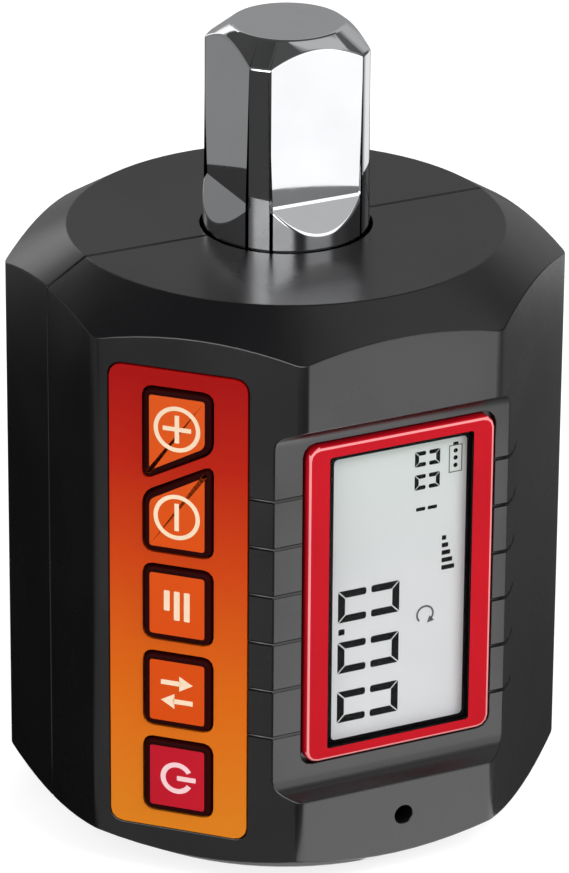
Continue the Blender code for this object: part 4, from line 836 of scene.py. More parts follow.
# %% Boards, foil and cells
def board_green():
    made, tree, shader = new_material("board_green")
    tracks = add_node(
        tree, "ShaderNodeTexBrick", Vector=position(tree), Scale=420.0, Mortar_Size=0.09, Mortar_Smooth=0.2,
        Color1=(0.012, 0.085, 0.030, 1), Color2=(0.016, 0.105, 0.040, 1), Mortar=(0.030, 0.200, 0.075, 1),
    )
    tree.links.new(tracks.outputs["Color"], shader.inputs["Base Color"])
    tree.links.new(spread(tree, tracks.outputs["Fac"], 0.35, 0.28), shader.inputs["Roughness"])
    bump(tree, shader, tracks.outputs["Fac"], 0.00001)
    return made


def gauge_foil():
    made, tree, shader = new_material("gauge_foil")
    bands = {"wave_type": "BANDS", "bands_direction": "X"}
    grid = add_node(tree, "ShaderNodeTexWave", bands, Vector=position(tree), Scale=1500.0).outputs["Fac"]
    foil = ramp(tree, grid, (0.45, (0.62, 0.36, 0.10)), (0.55, (0.72, 0.70, 0.66)))
    tree.links.new(foil, shader.inputs["Base Color"])
    tree.links.new(spread(tree, grid, 0.45, 0.30), shader.inputs["Roughness"])
    return made


def cell_sleeve():
    """A printed sleeve: a dark band, a light band and the bare steel rim at each end."""
    made, tree, shader = new_material("cell_sleeve")
    steel, dark, light = (0.55, 0.55, 0.56), (0.025, 0.050, 0.140), (0.70, 0.72, 0.75)
    bands = (0.02, steel), (0.035, dark), (0.70, dark), (0.72, light), (0.96, light), (0.975, steel)
    effect = use_group(tree, GRAIN, Grain_size=5000.0)
    share = height_share(tree, *(corner.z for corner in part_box("battery_1")))
    tree.links.new(ramp(tree, share, *bands), shader.inputs["Base Color"])
    tree.links.new(spread(tree, effect.outputs["Cloud"], 0.22, 0.34), shader.inputs["Roughness"])
    bump(tree, shader, effect.outputs["Height"], 0.000002)
    return made


BOARD_GREEN = board_green()
GAUGE_FOIL = gauge_foil()
CELL_SLEEVE = cell_sleeve()
print("materials in all:", len(bpy.data.materials))

# %% [markdown]
# ## Shells with softened edges
#
# A mould never leaves a perfectly sharp edge, and the small round on each edge is what catches the light.
# Each solid's copy is welded, its flat areas are made one face each, and a bevel rounds the sharp edges. On
# the shells only the outer skin is rounded: the inside isn't seen, and the walls of the fine grooves are
# thinner than the round itself. The copy then stands for the solid.

# %% Which edges belong to the outer skin
SKIN_OUT = 22.9
BODY_FOOT, BODY_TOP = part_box("front_housing")[0].z / MM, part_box("front_housing")[1].z / MM
LOWEST_GROOVE = 16.41
GROOVE_PITCH = 4.9
GROOVES = 6
NEAR_GROOVE = 0.5
HOOK_ACROSS = 12.0
HOOK_RISE = 1.4


def facet_reach(place):
    """How far out a point lies on the facet that it is nearest to, in millimetres."""
    turns = [math.radians(45 * number) for number in range(8)]
    return max(place.x * math.sin(turn) - place.y * math.cos(turn) for turn in turns) / MM


def groove_at(place):
    """The number of the groove that a point touches, or nothing."""
    across, up = place.x / MM, place.z / MM
    if place.y > 0:
        return None
    for number in range(GROOVES):
        above = up - LOWEST_GROOVE - number * GROOVE_PITCH
        if -NEAR_GROOVE < above < (HOOK_RISE if across > HOOK_ACROSS else NEAR_GROOVE):
            return number
    return None


def on_skin(one, other):
    """True for an edge of the outer skin that isn't the lip of a groove."""
    for end in (one, other):
        up = end.z / MM
        if not (facet_reach(end) > SKIN_OUT or up > BODY_TOP - 0.05 or up < BODY_FOOT + 0.05):
            return False
    return groove_at(one) is None or groove_at(one) != groove_at(other)


# %% Copy, weld and bevel
MEETING = 0.000002
FLAT_ANGLE = math.radians(0.4)


def welded(piece):
    """Merges points that lie on each other, and loose triangles into whole flat faces."""
    pick_all(piece)
    bpy.ops.mesh.remove_doubles(threshold=MEETING)
    bpy.ops.mesh.dissolve_limited(angle_limit=FLAT_ANGLE)
    back_to_object()
    return piece


def welded_copy(node, name):
    """A welded copy of a solid."""
    piece = copied(NODES[node], name)
    bpy.ops.object.parent_clear(type="CLEAR_KEEP_TRANSFORM")
    for key in list(piece.keys()):
        del piece[key]
    return welded(piece)


def rounded(piece, width, sharper=26, segments=3, where=None):
    """Bevels the edges that are sharper than an angle, and for which where(one end, other end) is true."""
    only(piece)
    bpy.ops.object.mode_set(mode="EDIT")
    bpy.ops.mesh.select_mode(type="EDGE")
    bpy.ops.mesh.select_all(action="DESELECT")
    bpy.ops.mesh.edges_select_sharp(sharpness=math.radians(sharper))
    back_to_object()
    if where:
        ends = [vert.co for vert in piece.data.vertices]
        chosen = [
            edge.select and where(ends[edge.vertices[0]], ends[edge.vertices[1]]) for edge in piece.data.edges
        ]
        open_empty(piece, "EDGE")
        for edge, wanted in zip(piece.data.edges, chosen):
            edge.select = wanted
    bpy.ops.object.mode_set(mode="EDIT")
    bpy.ops.mesh.bevel(offset=width * MM, segments=segments, affect="EDGES", clamp_overlap=False)
    back_to_object()
    return piece


def stands_for(piece, node, finish_of, body="root", angle=32):
    """Shades and finishes a piece, and lets it stand for a solid."""
    smooth(piece, angle)
    even_shading(piece)
    finish(piece, finish_of, body)
    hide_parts(node)
    print(f"{piece.name}: {len(piece.data.polygons)} faces for {node}")


# %% The two shells and the label
SHELL_ROUND = 0.13
LABEL_ROUND = 0.05

front_shell = rounded(welded_copy("front_housing", "front_shell"), SHELL_ROUND, where=on_skin)
stands_for(front_shell, "front_housing", HOUSING_BLACK)
rear_shell = rounded(welded_copy("rear_housing", "rear_shell"), SHELL_ROUND, where=on_skin)
stands_for(rear_shell, "rear_housing", HOUSING_BLACK)
label_film = rounded(welded_copy("keypad_overlay", "label_film"), LABEL_ROUND, segments=2)
stands_for(label_film, "keypad_overlay", LABEL_INK)

# %% [markdown]
# The battery cover has what a thumb needs to slide it off: five shallow grips, cut across it by one rounded
# bar that is copied down the cover. The solid leaves them out because they are only decoration there.

# %% The battery cover
GRIPS = 5
GRIP_LENGTH = 11.0
GRIP_WIDTH = 0.9
GRIP_PITCH = 1.9
GRIP_DEPTH = 0.30
LOWEST_GRIP = 9.0
COVER_OUT = span_on_facet("battery_cover", REAR)[1].z


def grip_bar(name):
    """A flat bar with round ends and a chamfered foot, lying down."""
    bar = flat_plate(name, GRIP_LENGTH, GRIP_WIDTH)
    round_corners(bar, GRIP_WIDTH * 0.48, 6)
    pick_all(bar)
    pull((0, 0, 2 * GRIP_DEPTH))
    back_to_object()
    pick_faces(bar, lambda centre, normal: abs(centre.z) < TINY)
    widened(0.97, 0.55)
    faced_out()
    return bar


cover_shell = rounded(welded_copy("battery_cover", "cover_shell"), SHELL_ROUND)
first_grip = grip_bar("grip_bar")
for number in range(GRIPS):
    bar = copied(first_grip, f"grip_bar_{number}")
    laid(bar, REAR, 0, LOWEST_GRIP + number * GRIP_PITCH, COVER_OUT - GRIP_DEPTH)
    cut(cover_shell, bar)
thrown_away(first_grip)
stands_for(cover_shell, "battery_cover", COVER_BLACK, "cover")

# %% [markdown]
# ## The red bezel
#
# The bezel is a moulded frame with a rounded outer edge. The rounding is painted light pink all round as a
# painted highlight. Inside, where it turns down to the display, its walls are painted black as painted shade.
# The faces that the bevel leaves on that edge are picked by their slope and get the painted highlight.

# %% The bezel
BEZEL_ROUND = 0.17
EDGE_REACH = 0.05
WALL_REACH = 0.1
# Of the bezel's three finishes, the second is a painted highlight for the rounded outer edge and the third is
# painted shade for the opening's walls.
PAINTED_HIGHLIGHT_SLOT = 1
PAINTED_SHADE_SLOT = 2

red_bezel = welded_copy("display_bezel", "red_bezel")
red_bezel.data.materials.clear()
for paint in (BEZEL_RED, BEZEL_PAINTED_HIGHLIGHT, INK_AND_SHADE_BLACK):
    red_bezel.data.materials.append(paint)


def inside_window(place):
    """True in the bezel's opening, its walls included."""
    across = WINDOW_LOW.x - WALL_REACH < place.x / MM < WINDOW_HIGH.x + WALL_REACH
    return across and WINDOW_LOW.y - WALL_REACH < place.z / MM < WINDOW_HIGH.y + WALL_REACH


def front_rim(one, other):
    """True on the outer edge of the bezel's front."""
    return all(-end.y / MM > BEZEL_OUT - EDGE_REACH and not inside_window(end) for end in (one, other))


def is_rounding(centre, normal):
    """True on the faces that the rounding of that edge has left."""
    on_edge = -centre.y / MM > BEZEL_OUT - BEZEL_ROUND and not inside_window(centre)
    return on_edge and 0.1 < -normal.y < 0.98


def paint_selected(piece, number):
    """Gives the selected faces another of the piece's finishes."""
    piece.active_material_index = number
    bpy.ops.object.material_slot_assign()


# The opening's walls are painted black: painted shade where the bezel turns down to the display.
pick_faces(red_bezel, lambda centre, normal: inside_window(centre) and abs(normal.y) < 0.5)
paint_selected(red_bezel, PAINTED_SHADE_SLOT)
back_to_object()
rounded(red_bezel, BEZEL_ROUND, where=front_rim)
# The rounding of the outer edge is painted light pink: a painted highlight.
pick_faces(red_bezel, is_rounding)
paint_selected(red_bezel, PAINTED_HIGHLIGHT_SLOT)
back_to_object()
stands_for(red_bezel, "display_bezel", None)

# %% [markdown]
# ## The keys
#
# Each key is a cap that stands a little out of the label. Its printed face is smaller than the cap, so a
# dark rim shows round it. The face is made by insets of the cap's outer face, and the inner part is lifted a
# few hundredths of a millimetre, as thick ink or a domed film would be. The rim is cut in small steps, and
# points that meet are merged after each. The slanted keys have one tight corner, and there this isn't enough:
# the inset still turns partly inside out and leaves a dark line across their faces, which is a known fault.

# %% Print the keys
KEY_ROUND = 0.06
KEY_RIM_STEPS = (0.03, 0.06, 0.06, 0.16)
KEY_DOME = 0.04
KEY_CORNER = 0.03
FACE_SLOT = 1
KEY_OUT = span_on_facet("key_plus", KEYPAD)[1].z
KEYPAD_OUTWARD = on_facet(KEYPAD, 0, 0, 1) / MM


def printed_key(node, body, ink, slot):
    piece = rounded(welded_copy(node, node + "_cap"), KEY_ROUND, segments=2)
    piece.data.materials.clear()
    piece.data.materials.append(KEY_EDGE)
    piece.data.materials.append(ink)

    def is_face(centre, normal):
        outermost = centre.dot(KEYPAD_OUTWARD) > (KEY_OUT - 0.01) * MM
        return outermost and normal.dot(KEYPAD_OUTWARD) > 0.999

    pick_faces(piece, is_face)
    for step in KEY_RIM_STEPS:
        bpy.ops.mesh.inset(thickness=step * MM, depth=0.0)
        bpy.ops.mesh.remove_doubles(threshold=KEY_CORNER * MM)
    paint_selected(piece, FACE_SLOT)
    bpy.ops.mesh.inset(thickness=KEY_DOME * MM, depth=KEY_DOME * MM)
    back_to_object()
    stands_for(piece, node, None, body, angle=25)


KEYS = {
    "key_plus": ("plus_key", KEY_ORANGE, "key"),
    "key_minus": ("minus_key", KEY_ORANGE, "key"),
    "key_mode": ("mode_key", KEY_ORANGE, "key"),
    "key_units": ("units_key", KEY_ORANGE, "key"),
    "key_power": ("power_key", KEY_CRIMSON, "key_red"),
}
for node, facts in KEYS.items():
    printed_key(node, *facts)

# %% [markdown]
# ## Flat signs
#
# The signs on the keys and the figures on the display are thin flat plates. They are drawn lying down, read
# from left to right, in millimetres round their own middle. A ring is a circle with an inset, an arm is an
# edge pulled out, and a last extrusion gives all of them their thickness. On this adapter everything is
# read from top to bottom, so each sign is turned a quarter when it is laid on its facet.

# %% Shapes of the signs
READ_DOWN = math.radians(-90)


def flat_ring(name, radius, stroke, steps=48):
    return hollowed(circle(name, radius, steps), stroke)


def flat_bar(name, width, height, across=0.0, up=0.0, corner=0.1):
    """A bar with rounded corners."""
    piece = flat_plate(name, width, height, across, up)
    round_corners(piece, corner, 3)
    return piece


def pulled(piece, direction, from_side, length):
    """Pulls out the outermost edge on one side of a small square plate. Sizes in millimetres."""
    way = Vector(direction)
    side = Vector((way.y, way.x, 0))

    def is_side(one, other):
        ends = (one, other)
        level = all(abs(end.dot(way) - from_side * MM) < TINY for end in ends)
        return level and all(abs(end.dot(side)) < from_side * MM + TINY for end in ends)

    pick_edges(piece, is_side)
    pull(way * length)
    back_to_object()


def flat_cross(name, length, stroke):
    """A plus sign: a small square whose four sides are pulled out."""
    piece = flat_plate(name, stroke, stroke)
    for direction in ((1, 0, 0), (-1, 0, 0), (0, 1, 0), (0, -1, 0)):
        pulled(piece, direction, stroke / 2, (length - stroke) / 2)
    return piece


def flat_arrow(name, length, stroke, head):
    """An arrow that points up: a bar and a three-cornered head."""
    neck = head * 0.8
    shaft = flat_plate(name + "_shaft", stroke, length - neck, 0, -neck / 2)
    tip = circle(name + "_tip", head * 0.6, 3, (0, length / 2 - head * 0.6, 0))
    return joined([shaft, tip], name)


def moved(piece, across, up, turn=0.0):
    """Moves and turns a sign that is still lying down."""
    piece.rotation_euler.z = turn
    piece.location = Vector((across, up, 0)) * MM
    apply_place(piece)
    return piece


def as_plate(piece, thickness):
    """Gives a flat sign its thickness."""
    pick_all(piece)
    pull((0, 0, thickness))
    faced_out()
    return piece


# %% [markdown]
# ## Signs on the keys
#
# Plus and minus stand in circles. The other three keys have plain signs for what they do: lines for the
# mode, two arrows for a change of units, and the usual sign for power.

# %% Draw the signs
CIRCLE_RADIUS = 2.30
CIRCLE_STROKE = 0.42
ARM_LENGTH = 2.80
ARM_STROKE = 0.44


def plus_sign():
    ring = flat_ring("ring", CIRCLE_RADIUS, CIRCLE_STROKE)
    return joined([ring, flat_cross("arms", ARM_LENGTH, ARM_STROKE)], "plus")


def minus_sign():
    ring = flat_ring("ring", CIRCLE_RADIUS, CIRCLE_STROKE)
    return joined([ring, flat_plate("arm", ARM_LENGTH, ARM_STROKE)], "minus")


def mode_sign():
    """Three lines, the longest on top."""
    longest = 3.0
    lines = ((longest, 1.0), (longest, 0.0), (2.1, -1.0))
    drawn = [flat_bar("line", length, 0.58, (length - longest) / 2, up) for length, up in lines]
    return joined(drawn, "mode")


def units_sign():
    """Two arrows that point opposite ways."""
    up_arrow = moved(flat_arrow("up", 3.2, 0.50, 1.5), -0.95, 0)
    down_arrow = moved(flat_arrow("down", 3.2, 0.50, 1.5), 0.95, 0, math.pi)
    return joined([up_arrow, down_arrow], "units")


def power_sign():
    """A ring that is open on top, and a bar in the opening."""
    ring = flat_ring("ring", 1.65, 0.50)
    pick_faces(ring, lambda centre, normal: centre.y > 0 and abs(centre.x) < 0.75 * MM)
    bpy.ops.mesh.delete(type="FACE")
    back_to_object()
    return joined([ring, flat_bar("bar", 0.50, 1.9, 0, 0.95)], "power")


# %% Lay the signs on the keys
SIGN_THICKNESS = 0.03
KEY_FACE_OUT = KEY_OUT + KEY_DOME
SIGNS = (
    ("plus", plus_sign, "plus_key", -1.87, 47.09, LEGEND_CREAM, "key"),
    ("minus", minus_sign, "minus_key", -1.90, 38.12, LEGEND_CREAM, "key"),
    ("mode", mode_sign, "mode_key", -1.90, 28.94, LEGEND_CREAM, "key"),
    ("units", units_sign, "units_key", -1.90, 19.87, LEGEND_CREAM, "key"),
    ("power", power_sign, "power_key", -1.90, 10.80, LEGEND_PINK, "key_red"),
)
for name, drawn, body, across, up, paint, slot in SIGNS:
    sign = as_plate(drawn(), SIGN_THICKNESS)
    sign.name = name + "_sign"
    laid(sign, KEYPAD, across, up, KEY_FACE_OUT - SIGN_THICKNESS / 3, READ_DOWN)
    finish(sign, paint, body)
print(len(SIGNS), "signs on the keys")

# %% [markdown]
# ## The display
#
# A liquid crystal display of this kind shows black figures that are made of bars, on a silvery ground. A
# nought is six bars: a frame with mitred corners whose long sides are split, each bar a little apart from
# the next. Such a frame is a plate with an inset, cut across its middle, and an inset of each face on its
# own sets the bars apart. The three large noughts are one nought and two copies, and so are the small ones.

# %% A nought made of bars
def nought(name, width, height, stroke, gap, middle_gap):
    """Six bars that read as a nought. Sizes in millimetres, over all."""
    piece = hollowed(flat_plate(name, width + gap, height + gap), stroke + gap)
    pick_all(piece)
    bpy.ops.mesh.bisect(plane_co=(0, 0, 0), plane_no=(0, 1, 0))
    bpy.ops.mesh.select_mode(type="FACE")
    bpy.ops.mesh.select_all(action="SELECT")
    bpy.ops.mesh.inset(thickness=gap / 2 * MM, depth=0, use_individual=True)
    bpy.ops.mesh.select_all(action="INVERT")
    bpy.ops.mesh.delete(type="FACE")
    back_to_object()
    for side in (1, -1):
        pick_points(piece, lambda place: 0 < place.y * side < gap * MM)
        bpy.ops.transform.translate(value=(0, side * (middle_gap - gap) / 2 * MM, 0))
        back_to_object()
    pick_points(piece, lambda place: abs(place.y) < middle_gap * MM)
    bpy.ops.mesh.bevel(offset=stroke * 0.3 * MM, segments=2, affect="VERTICES")
    back_to_object()
    return piece


# %% Lay figures on the display
FIGURE_THICKNESS = 0.02
figures = []


def shown(piece, name, left, up, paint=INK_AND_SHADE_BLACK):
    """Lays a flat figure on the display with its middle at this place, read from top to bottom."""
    as_plate(piece, FIGURE_THICKNESS)
    piece.name = name
    laid(piece, DISPLAY, left, up, LCD_OUT - FIGURE_THICKNESS / 4, READ_DOWN)
    finish(piece, paint)
    figures.append(name)


LARGE = {"width": 3.28, "height": 6.48, "stroke": 0.74, "gap": 0.12, "middle_gap": 0.52}
LARGE_ACROSS = -1.92
LARGE_UP = (28.27, 22.95, 17.75)
SMALL = {"width": 1.56, "height": 2.66, "stroke": 0.42, "gap": 0.07, "middle_gap": 0.34}
SMALL_ACROSS = 4.08
SMALL_UP = (42.03, 39.65)



def noughts(name, bars, across, places):
    """One nought and its copies, down the display."""
    first = nought(name, **bars)
    rest = [copied(first, name) for up in places[1:]]
    for number, (piece, up) in enumerate(zip([first, *rest], places), 1):
        shown(piece, f"{name}_{number}", across, up)


noughts("large_nought", LARGE, LARGE_ACROSS, LARGE_UP)
noughts("small_nought", SMALL, SMALL_ACROSS, SMALL_UP)
shown(flat_bar("point", 0.62, 0.66), "decimal_point", -4.77, 25.64)
halves = [flat_bar("half", 0.36, 0.98, 0, up, 0.09) for up in (-0.62, 0.62)]
shown(joined(halves, "one"), "small_one", 4.06, 36.85)
print("figures:", ", ".join(figures))

# %% [markdown]
# Three plain signs share the display: the battery with its three marks, bars for the level that is being
# held, and a bent arrow for the turning force. The arrow's arc is a ring with a quarter taken out.

# %% Battery, level bars and turning arrow
BATTERY_LENGTH = 2.82
BATTERY_HEIGHT = 1.42
BATTERY_STROKE = 0.10
BATTERY_PLACE = (7.05, 41.44)
POLE_LENGTH = 0.28
POLE_HEIGHT = 0.55
CHARGE_RADIUS = 0.23
CHARGE_ALONG = (-0.80, -0.07, 0.70)

case = hollowed(flat_plate("case", BATTERY_LENGTH, BATTERY_HEIGHT), BATTERY_STROKE)
pole = flat_plate("pole", POLE_LENGTH, POLE_HEIGHT, -(BATTERY_LENGTH + POLE_LENGTH) / 2, 0)
shown(case, "battery_case", *BATTERY_PLACE, INK_GREY)
shown(pole, "battery_pole", *BATTERY_PLACE)
charge = [circle("charge", CHARGE_RADIUS, 16, (along, 0, 0)) for along in CHARGE_ALONG]
shown(joined(charge, "charge"), "battery_charge", *BATTERY_PLACE)

LEVELS = (0.45, 0.68, 0.91, 1.14, 1.37)
LEVEL_PITCH = 0.78
bars = []
for number, height in enumerate(LEVELS):
    along = (number - (len(LEVELS) - 1) / 2) * LEVEL_PITCH
    bars.append(flat_bar("level", 0.46, height, along, height / 2 - LEVELS[-1] / 2, 0.06))
shown(joined(bars, "levels"), "level_bars", 6.45, 31.85)

ARC_RADIUS = 0.95
ARC_STROKE = 0.20
ARROW_TIP = 0.46
arc = flat_ring("arc", ARC_RADIUS, ARC_STROKE, 40)
pick_faces(arc, lambda centre, normal: centre.x > 0 and -centre.x < centre.y < centre.x * 0.9)
bpy.ops.mesh.delete(type="FACE")
back_to_object()
tip = moved(circle("tip", ARROW_TIP, 3), 0.64, 0.56, math.radians(-140))
shown(joined([arc, tip], "turning_arrow"), "turning_arrow", 4.10, 25.75, INK_GREY)

# %% [markdown]
# Between the red bezel and the ground runs a soft black border, partly the edge of the display's own mask
# and partly painted shadow: a frame lying on the display, wider where the bezel's shadow would fall.

# %% The black border
BRIGHT_LEFT, BRIGHT_RIGHT = -5.76, 8.24
BRIGHT_FOOT, BRIGHT_TOP = 14.42, 43.62
BORDER_REACH = 0.02
CORNER_RADIUS = 0.45
HOLE_DEPTH = 1.0

width, height = BRIGHT_RIGHT - BRIGHT_LEFT, BRIGHT_TOP - BRIGHT_FOOT
middle = ((BRIGHT_LEFT + BRIGHT_RIGHT) / 2, (BRIGHT_FOOT + BRIGHT_TOP) / 2)
border = flat_plate("lcd_mask_and_shadow", width, height)
round_corners(border, CORNER_RADIUS, 5)
hole = as_plate(border, HOLE_DEPTH)
hole.name = "border_hole"
laid(hole, DISPLAY, *middle, LCD_OUT - HOLE_DEPTH / 2)
apply_place(hole)
lcd_low, lcd_high = span_on_facet("lcd_module", DISPLAY)
frame_width = lcd_high.x - lcd_low.x - 2 * BORDER_REACH
frame_height = lcd_high.y - lcd_low.y - 2 * BORDER_REACH
# This black frame is partly the display's mask and partly painted shadow of the bezel.
border = as_plate(flat_plate("lcd_mask_and_shadow", frame_width, frame_height), FIGURE_THICKNESS * 2)
laid(border, DISPLAY, (lcd_low.x + lcd_high.x) / 2, (lcd_low.y + lcd_high.y) / 2, LCD_OUT)
apply_place(border)
cut(border, hole)
finish(border, INK_AND_SHADE_BLACK)
print("the bright part of the display is", round(width, 1), "by", round(height, 1), "mm")

# %% [markdown]
# ## The shaft
#
# The shaft is one bar of chromed steel. Here it is made as in a workshop: turned first, then milled square,
# then bored. Turning is a filled circle that is pulled up step by step and resized at each step. The milled
# square is the same with four sides, and it widens below the flats, so that each flat ends in a sloping
# half moon. What both shapes share is the drive. Every sharp edge that reaches above the body gets a small
# polished round, which draws the bright lines of the photograph.

# %% Turning
def turned(name, profile, steps=48, turn=0.0):
    """A filled circle pulled up along (radius, height) steps, in millimetres."""
    radius, height = profile[0]
    piece = circle(name, radius, steps, (0, 0, height), turn)
    pick_all(piece)
    for next_radius, next_height in profile[1:]:
        pull((0, 0, next_height - height))
        share = next_radius / radius
        widened(share, share)
        radius, height = next_radius, next_height
    faced_out()
    return piece


def squared(name, profile):
    """The same with four sides. Here a profile gives half the width of the square."""
    return turned(name, [(half * math.sqrt(2), height) for half, height in profile], 4, math.radians(45))


# %% Turn, mill and bore the shaft
SHAFT_STEPS = 144
SHAFT_FOOT, SHAFT_TOP = (corner.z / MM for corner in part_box("torque_shaft"))
BAR = 8.0
SQUARE = 6.35
SOCKET_END = 10.98
SOCKET_END_TOP = 18.5
TAPER = 3.5
WAIST = 6.5
COLLAR = 5.9
END_FLAT = 5.35
END_CONE = 2.1
FOOT_ROUND = 0.3
RING_DEPTH = 0.6
SEAL_FLOOR = 7.2
CLEARANCE = 0.1
FLAT_START = BODY_TOP + 4.3
MOON_STEEPNESS = 2.8 / (BAR - SQUARE)
WIDE = 12.0


def groove(radius, floor, node):
    """The four turning steps of a groove round the shaft, for the ring that sits in it."""
    low, high = (corner.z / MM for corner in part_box(node))
    low, high = low - CLEARANCE, high + CLEARANCE
    return [(radius, low), (floor, low), (floor, high), (radius, high)]


waist_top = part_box("upper_retaining_ring")[0].z / MM - CLEARANCE - COLLAR - TAPER
shaft = turned("square_shaft", [
    (SOCKET_END - FOOT_ROUND, SHAFT_FOOT),
    (SOCKET_END, SHAFT_FOOT + FOOT_ROUND),
    *groove(SOCKET_END, SOCKET_END - RING_DEPTH, "lower_retaining_ring"),
    (SOCKET_END, SOCKET_END_TOP),
    (WAIST, SOCKET_END_TOP + TAPER),
    (WAIST, waist_top),
    (BAR, waist_top + TAPER),
    *groove(BAR, BAR - RING_DEPTH, "upper_retaining_ring"),
    *groove(BAR, SEAL_FLOOR, "shaft_seal"),
    (BAR, SHAFT_TOP - END_CONE),
    (END_FLAT, SHAFT_TOP),
], SHAFT_STEPS)
milled = squared("milled_square", [
    (WIDE, -1),
    (WIDE, FLAT_START - (WIDE - SQUARE) * MOON_STEEPNESS),
    (SQUARE, FLAT_START),
    (SQUARE, SHAFT_TOP + 1),
])
cut(shaft, milled, "INTERSECT")

SOCKET_HALF = 6.45
SOCKET_DEPTH = 15.5
SOCKET_CORNER = 0.5
SOCKET_CHAMFER = 0.35
CATCH_RADIUS = SOCKET_HALF + 0.9
CATCH_MIDDLE = 7.75
CATCH_HALF = 1.3
CATCH_DEPTH = 0.5
CATCH_SLOPE = 0.3
socket = squared("socket_hole", [
    (SOCKET_HALF + SOCKET_CHAMFER, -1),
    (SOCKET_HALF + SOCKET_CHAMFER, SHAFT_FOOT),
    (SOCKET_HALF, SHAFT_FOOT + SOCKET_CHAMFER),
    (SOCKET_HALF, SHAFT_FOOT + SOCKET_DEPTH),
])
pick_edges(socket, lambda one, other: abs(one.z - other.z) > MM and one.z > 0)
bpy.ops.mesh.bevel(offset=SOCKET_CORNER * MM, segments=3, affect="EDGES")
back_to_object()
cut(shaft, socket)
cut(shaft, turned("socket_catch", [
    (CATCH_RADIUS - CATCH_DEPTH, CATCH_MIDDLE - CATCH_HALF - CATCH_SLOPE),
    (CATCH_RADIUS, CATCH_MIDDLE - CATCH_HALF),
    (CATCH_RADIUS, CATCH_MIDDLE + CATCH_HALF),
    (CATCH_RADIUS - CATCH_DEPTH, CATCH_MIDDLE + CATCH_HALF + CATCH_SLOPE),
], 96))
print("shaft:", len(shaft.data.polygons), "faces after milling")

# %% [markdown]
# A spring ball sits in a bore in the flat at the rear and snaps into the groove of a socket. The bore's
# mouth is narrower than the ball, so that the ball can't fall out. The bore and the steel ball are both
# turned on their side. The ball is a sphere with a small flat worn onto its tip, which a bisect cuts and
# fills.

# %% Bore the ball's seat and make the ball
BALL_LOW, BALL_HIGH = span_on_facet("detent_ball", REAR)
BALL_MIDDLE = (BALL_LOW + BALL_HIGH) / 2
BALL_RADIUS = (BALL_HIGH.z - BALL_LOW.z) / 2
BORE_FLOOR = -0.65
LIP_OUT = 6.0
BORE_STRAIGHT = 0.6
MOUTH_RADIUS = 2.12
FLARE, FLARE_FOOT, FLARE_TOP = 0.3, 0.12, 0.18
TIP_WEAR = 0.03

bore = turned("ball_bore", [
    (BALL_RADIUS + CLEARANCE, BORE_FLOOR),
    (BALL_RADIUS + CLEARANCE, BALL_MIDDLE.z + BORE_STRAIGHT),
    (MOUTH_RADIUS, LIP_OUT),
    (MOUTH_RADIUS, SQUARE - FLARE_FOOT),
    (MOUTH_RADIUS + FLARE, SQUARE + FLARE_TOP),
], 64)
laid(bore, REAR, BALL_MIDDLE.x, BALL_MIDDLE.y, 0)
apply_place(bore)
cut(shaft, bore)

clear_selection()
bpy.ops.mesh.primitive_uv_sphere_add(segments=48, ring_count=24, radius=BALL_RADIUS * MM)
ball = named("steel_ball")
laid(ball, REAR, *BALL_MIDDLE)
apply_place(ball)
pick_all(ball)
bpy.ops.mesh.bisect(
    plane_co=on_facet(REAR, *BALL_MIDDLE.xy, BALL_HIGH.z - TIP_WEAR), plane_no=on_facet(REAR, 0, 0, 1 / MM),
    clear_outer=True, use_fill=True,
)
back_to_object()
smooth(ball, 20)
finish(ball, BALL_STEEL, "spring_ball")
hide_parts("detent_ball")

# %% Round the shaft's edges
SHAFT_ROUND = 0.20

welded(shaft)
rounded(shaft, SHAFT_ROUND, sharper=24, where=lambda one, other: max(one.z, other.z) > BODY_TOP * MM)
stands_for(shaft, "torque_shaft", CHROME, angle=24)

# %% [markdown]
# ## Screws
#
# Four screws hold the shells together from the rear, deep in their pockets, and a flat one holds the
# battery cover. Both kinds are turned, and their cross recess is cut with two bars. One screw is made of
# each kind, and the housing's screw is copied to its other three places.

# %% Turn the screws
RECESS_FOOT = 0.8


def cross_recess(piece, arm, slot, depth, top):
    """Cuts two crossed bars into a screw's head. Sizes in millimetres."""
    for width, height in ((2 * arm, 2 * slot), (2 * slot, 2 * arm)):
        bar = flat_plate("recess", width, height)
        pick_all(bar)
        widened(RECESS_FOOT, RECESS_FOOT)
        pull((0, 0, depth + 0.1))
        widened(1 / RECESS_FOOT, 1 / RECESS_FOOT)
        faced_out()
        bar.location.z = (top - depth) * MM
        apply_place(bar)
        cut(piece, bar)


def rounded_screw(piece, width, top):
    """Rounds a screw's edges above a height. Sizes in millimetres."""
    pick_all(piece)
    bpy.ops.mesh.remove_doubles(threshold=MEETING)
    back_to_object()
    rounded(piece, width, 35, 2, lambda one, other: min(one.z, other.z) > top * MM)


def screwed_in(piece, node, out, roll, body="root"):
    """Puts a screw in the place of the solid's screw and lets it stand for that."""
    low, high = span_on_facet(node, REAR)
    laid(piece, REAR, (low.x + high.x) / 2, (low.y + high.y) / 2, out, math.radians(roll))
    stands_for(piece, node, ZINC, body)


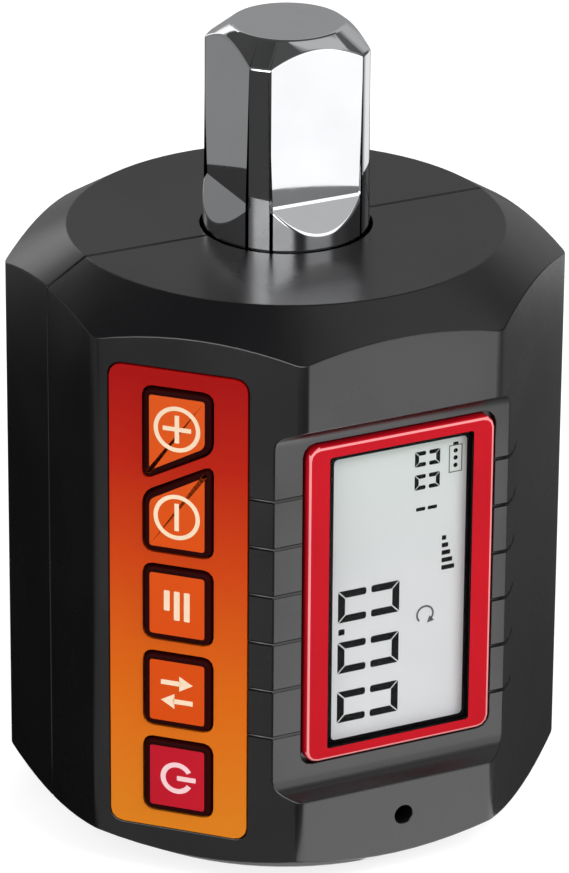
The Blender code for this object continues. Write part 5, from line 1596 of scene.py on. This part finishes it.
HEAD, HEAD_HEIGHT = 2.2, 1.58
SCREW_LENGTH = 13.2
SCREW_SHANK = 1.25
SCREW_POINT = 0.6
HEAD_DOME = ((HEAD, 0.95), (2.05, 1.22), (1.75, 1.44), (1.35, HEAD_HEIGHT))
SCREW_SEAT_OUT = span_on_facet("housing_screw_1", REAR)[1].z - HEAD_HEIGHT
screw = turned("housing_screw", [
    (SCREW_SHANK / 2, -SCREW_LENGTH),
    (SCREW_SHANK, SCREW_POINT - SCREW_LENGTH),
    (SCREW_SHANK, 0),
    (HEAD, 0),
    *HEAD_DOME,
])
cross_recess(screw, 1.32, 0.35, 0.88, HEAD_HEIGHT)
rounded_screw(screw, 0.06, 0.5)
screws = [screw] + [copied(screw, "housing_screw") for number in range(3)]
for number, piece in enumerate(screws, 1):
    piece.name = f"shell_screw_{number}"
    screwed_in(piece, f"housing_screw_{number}", SCREW_SEAT_OUT, 25 * number)

SUNK_HEAD, SUNK_SHANK, SUNK_LENGTH = 1.6, 0.9, 7.0
SUNK_POINT = 0.5
HEAD_EDGE = 0.05
SUNK_OUT = span_on_facet("battery_cover_screw", REAR)[1].z
flat_screw = turned("cover_screw", [
    (SUNK_SHANK / 2, -SUNK_LENGTH),
    (SUNK_SHANK, SUNK_POINT - SUNK_LENGTH),
    (SUNK_SHANK, SUNK_SHANK - SUNK_HEAD),
    (SUNK_HEAD, -HEAD_EDGE),
    (SUNK_HEAD - HEAD_EDGE, 0),
], 40)
cross_recess(flat_screw, 0.96, 0.25, 0.64, 0)
rounded_screw(flat_screw, 0.04, -0.5)
screwed_in(flat_screw, "battery_cover_screw", SUNK_OUT, 20, "cover")

# %% [markdown]
# ## Finishes of the solids that stay
#
# The other solids have the right shape already, so they only get a finish.

# %% Dress the solids
FINISHES = {
    ZINC: ("main_board_screw_1", "main_board_screw_2", "key_board_screw_1", "key_board_screw_2"),
    SPRING_STEEL: (
        "detent_spring", "upper_retaining_ring", "lower_retaining_ring", "locking_pin",
        *(f"dome_switch_{number}" for number in range(1, 6)),
    ),
    BRONZE: ("upper_bush", "lower_bush"),
    SEAL_RUBBER: ("shaft_seal",),
    GAUGE_FOIL: ("strain_gauge_front", "strain_gauge_rear"),
    WINDOW_FILM: ("display_window",),
    REFLECTOR: ("lcd_module",),
    BOARD_GREEN: ("main_board", "key_board"),
    CHIP_BLACK: ("controller_chip", "gauge_amplifier", "sounder"),
    CELL_SLEEVE: ("battery_1", "battery_2"),
    NICKEL: ("battery_bridge_contact", "battery_plus_contact", "battery_minus_contact"),
}
for paint, nodes in FINISHES.items():
    for node in nodes:
        for place in NODES[node].material_slots:
            place.material = paint
print("dressed", sum(len(nodes) for nodes in FINISHES.values()), "solids")
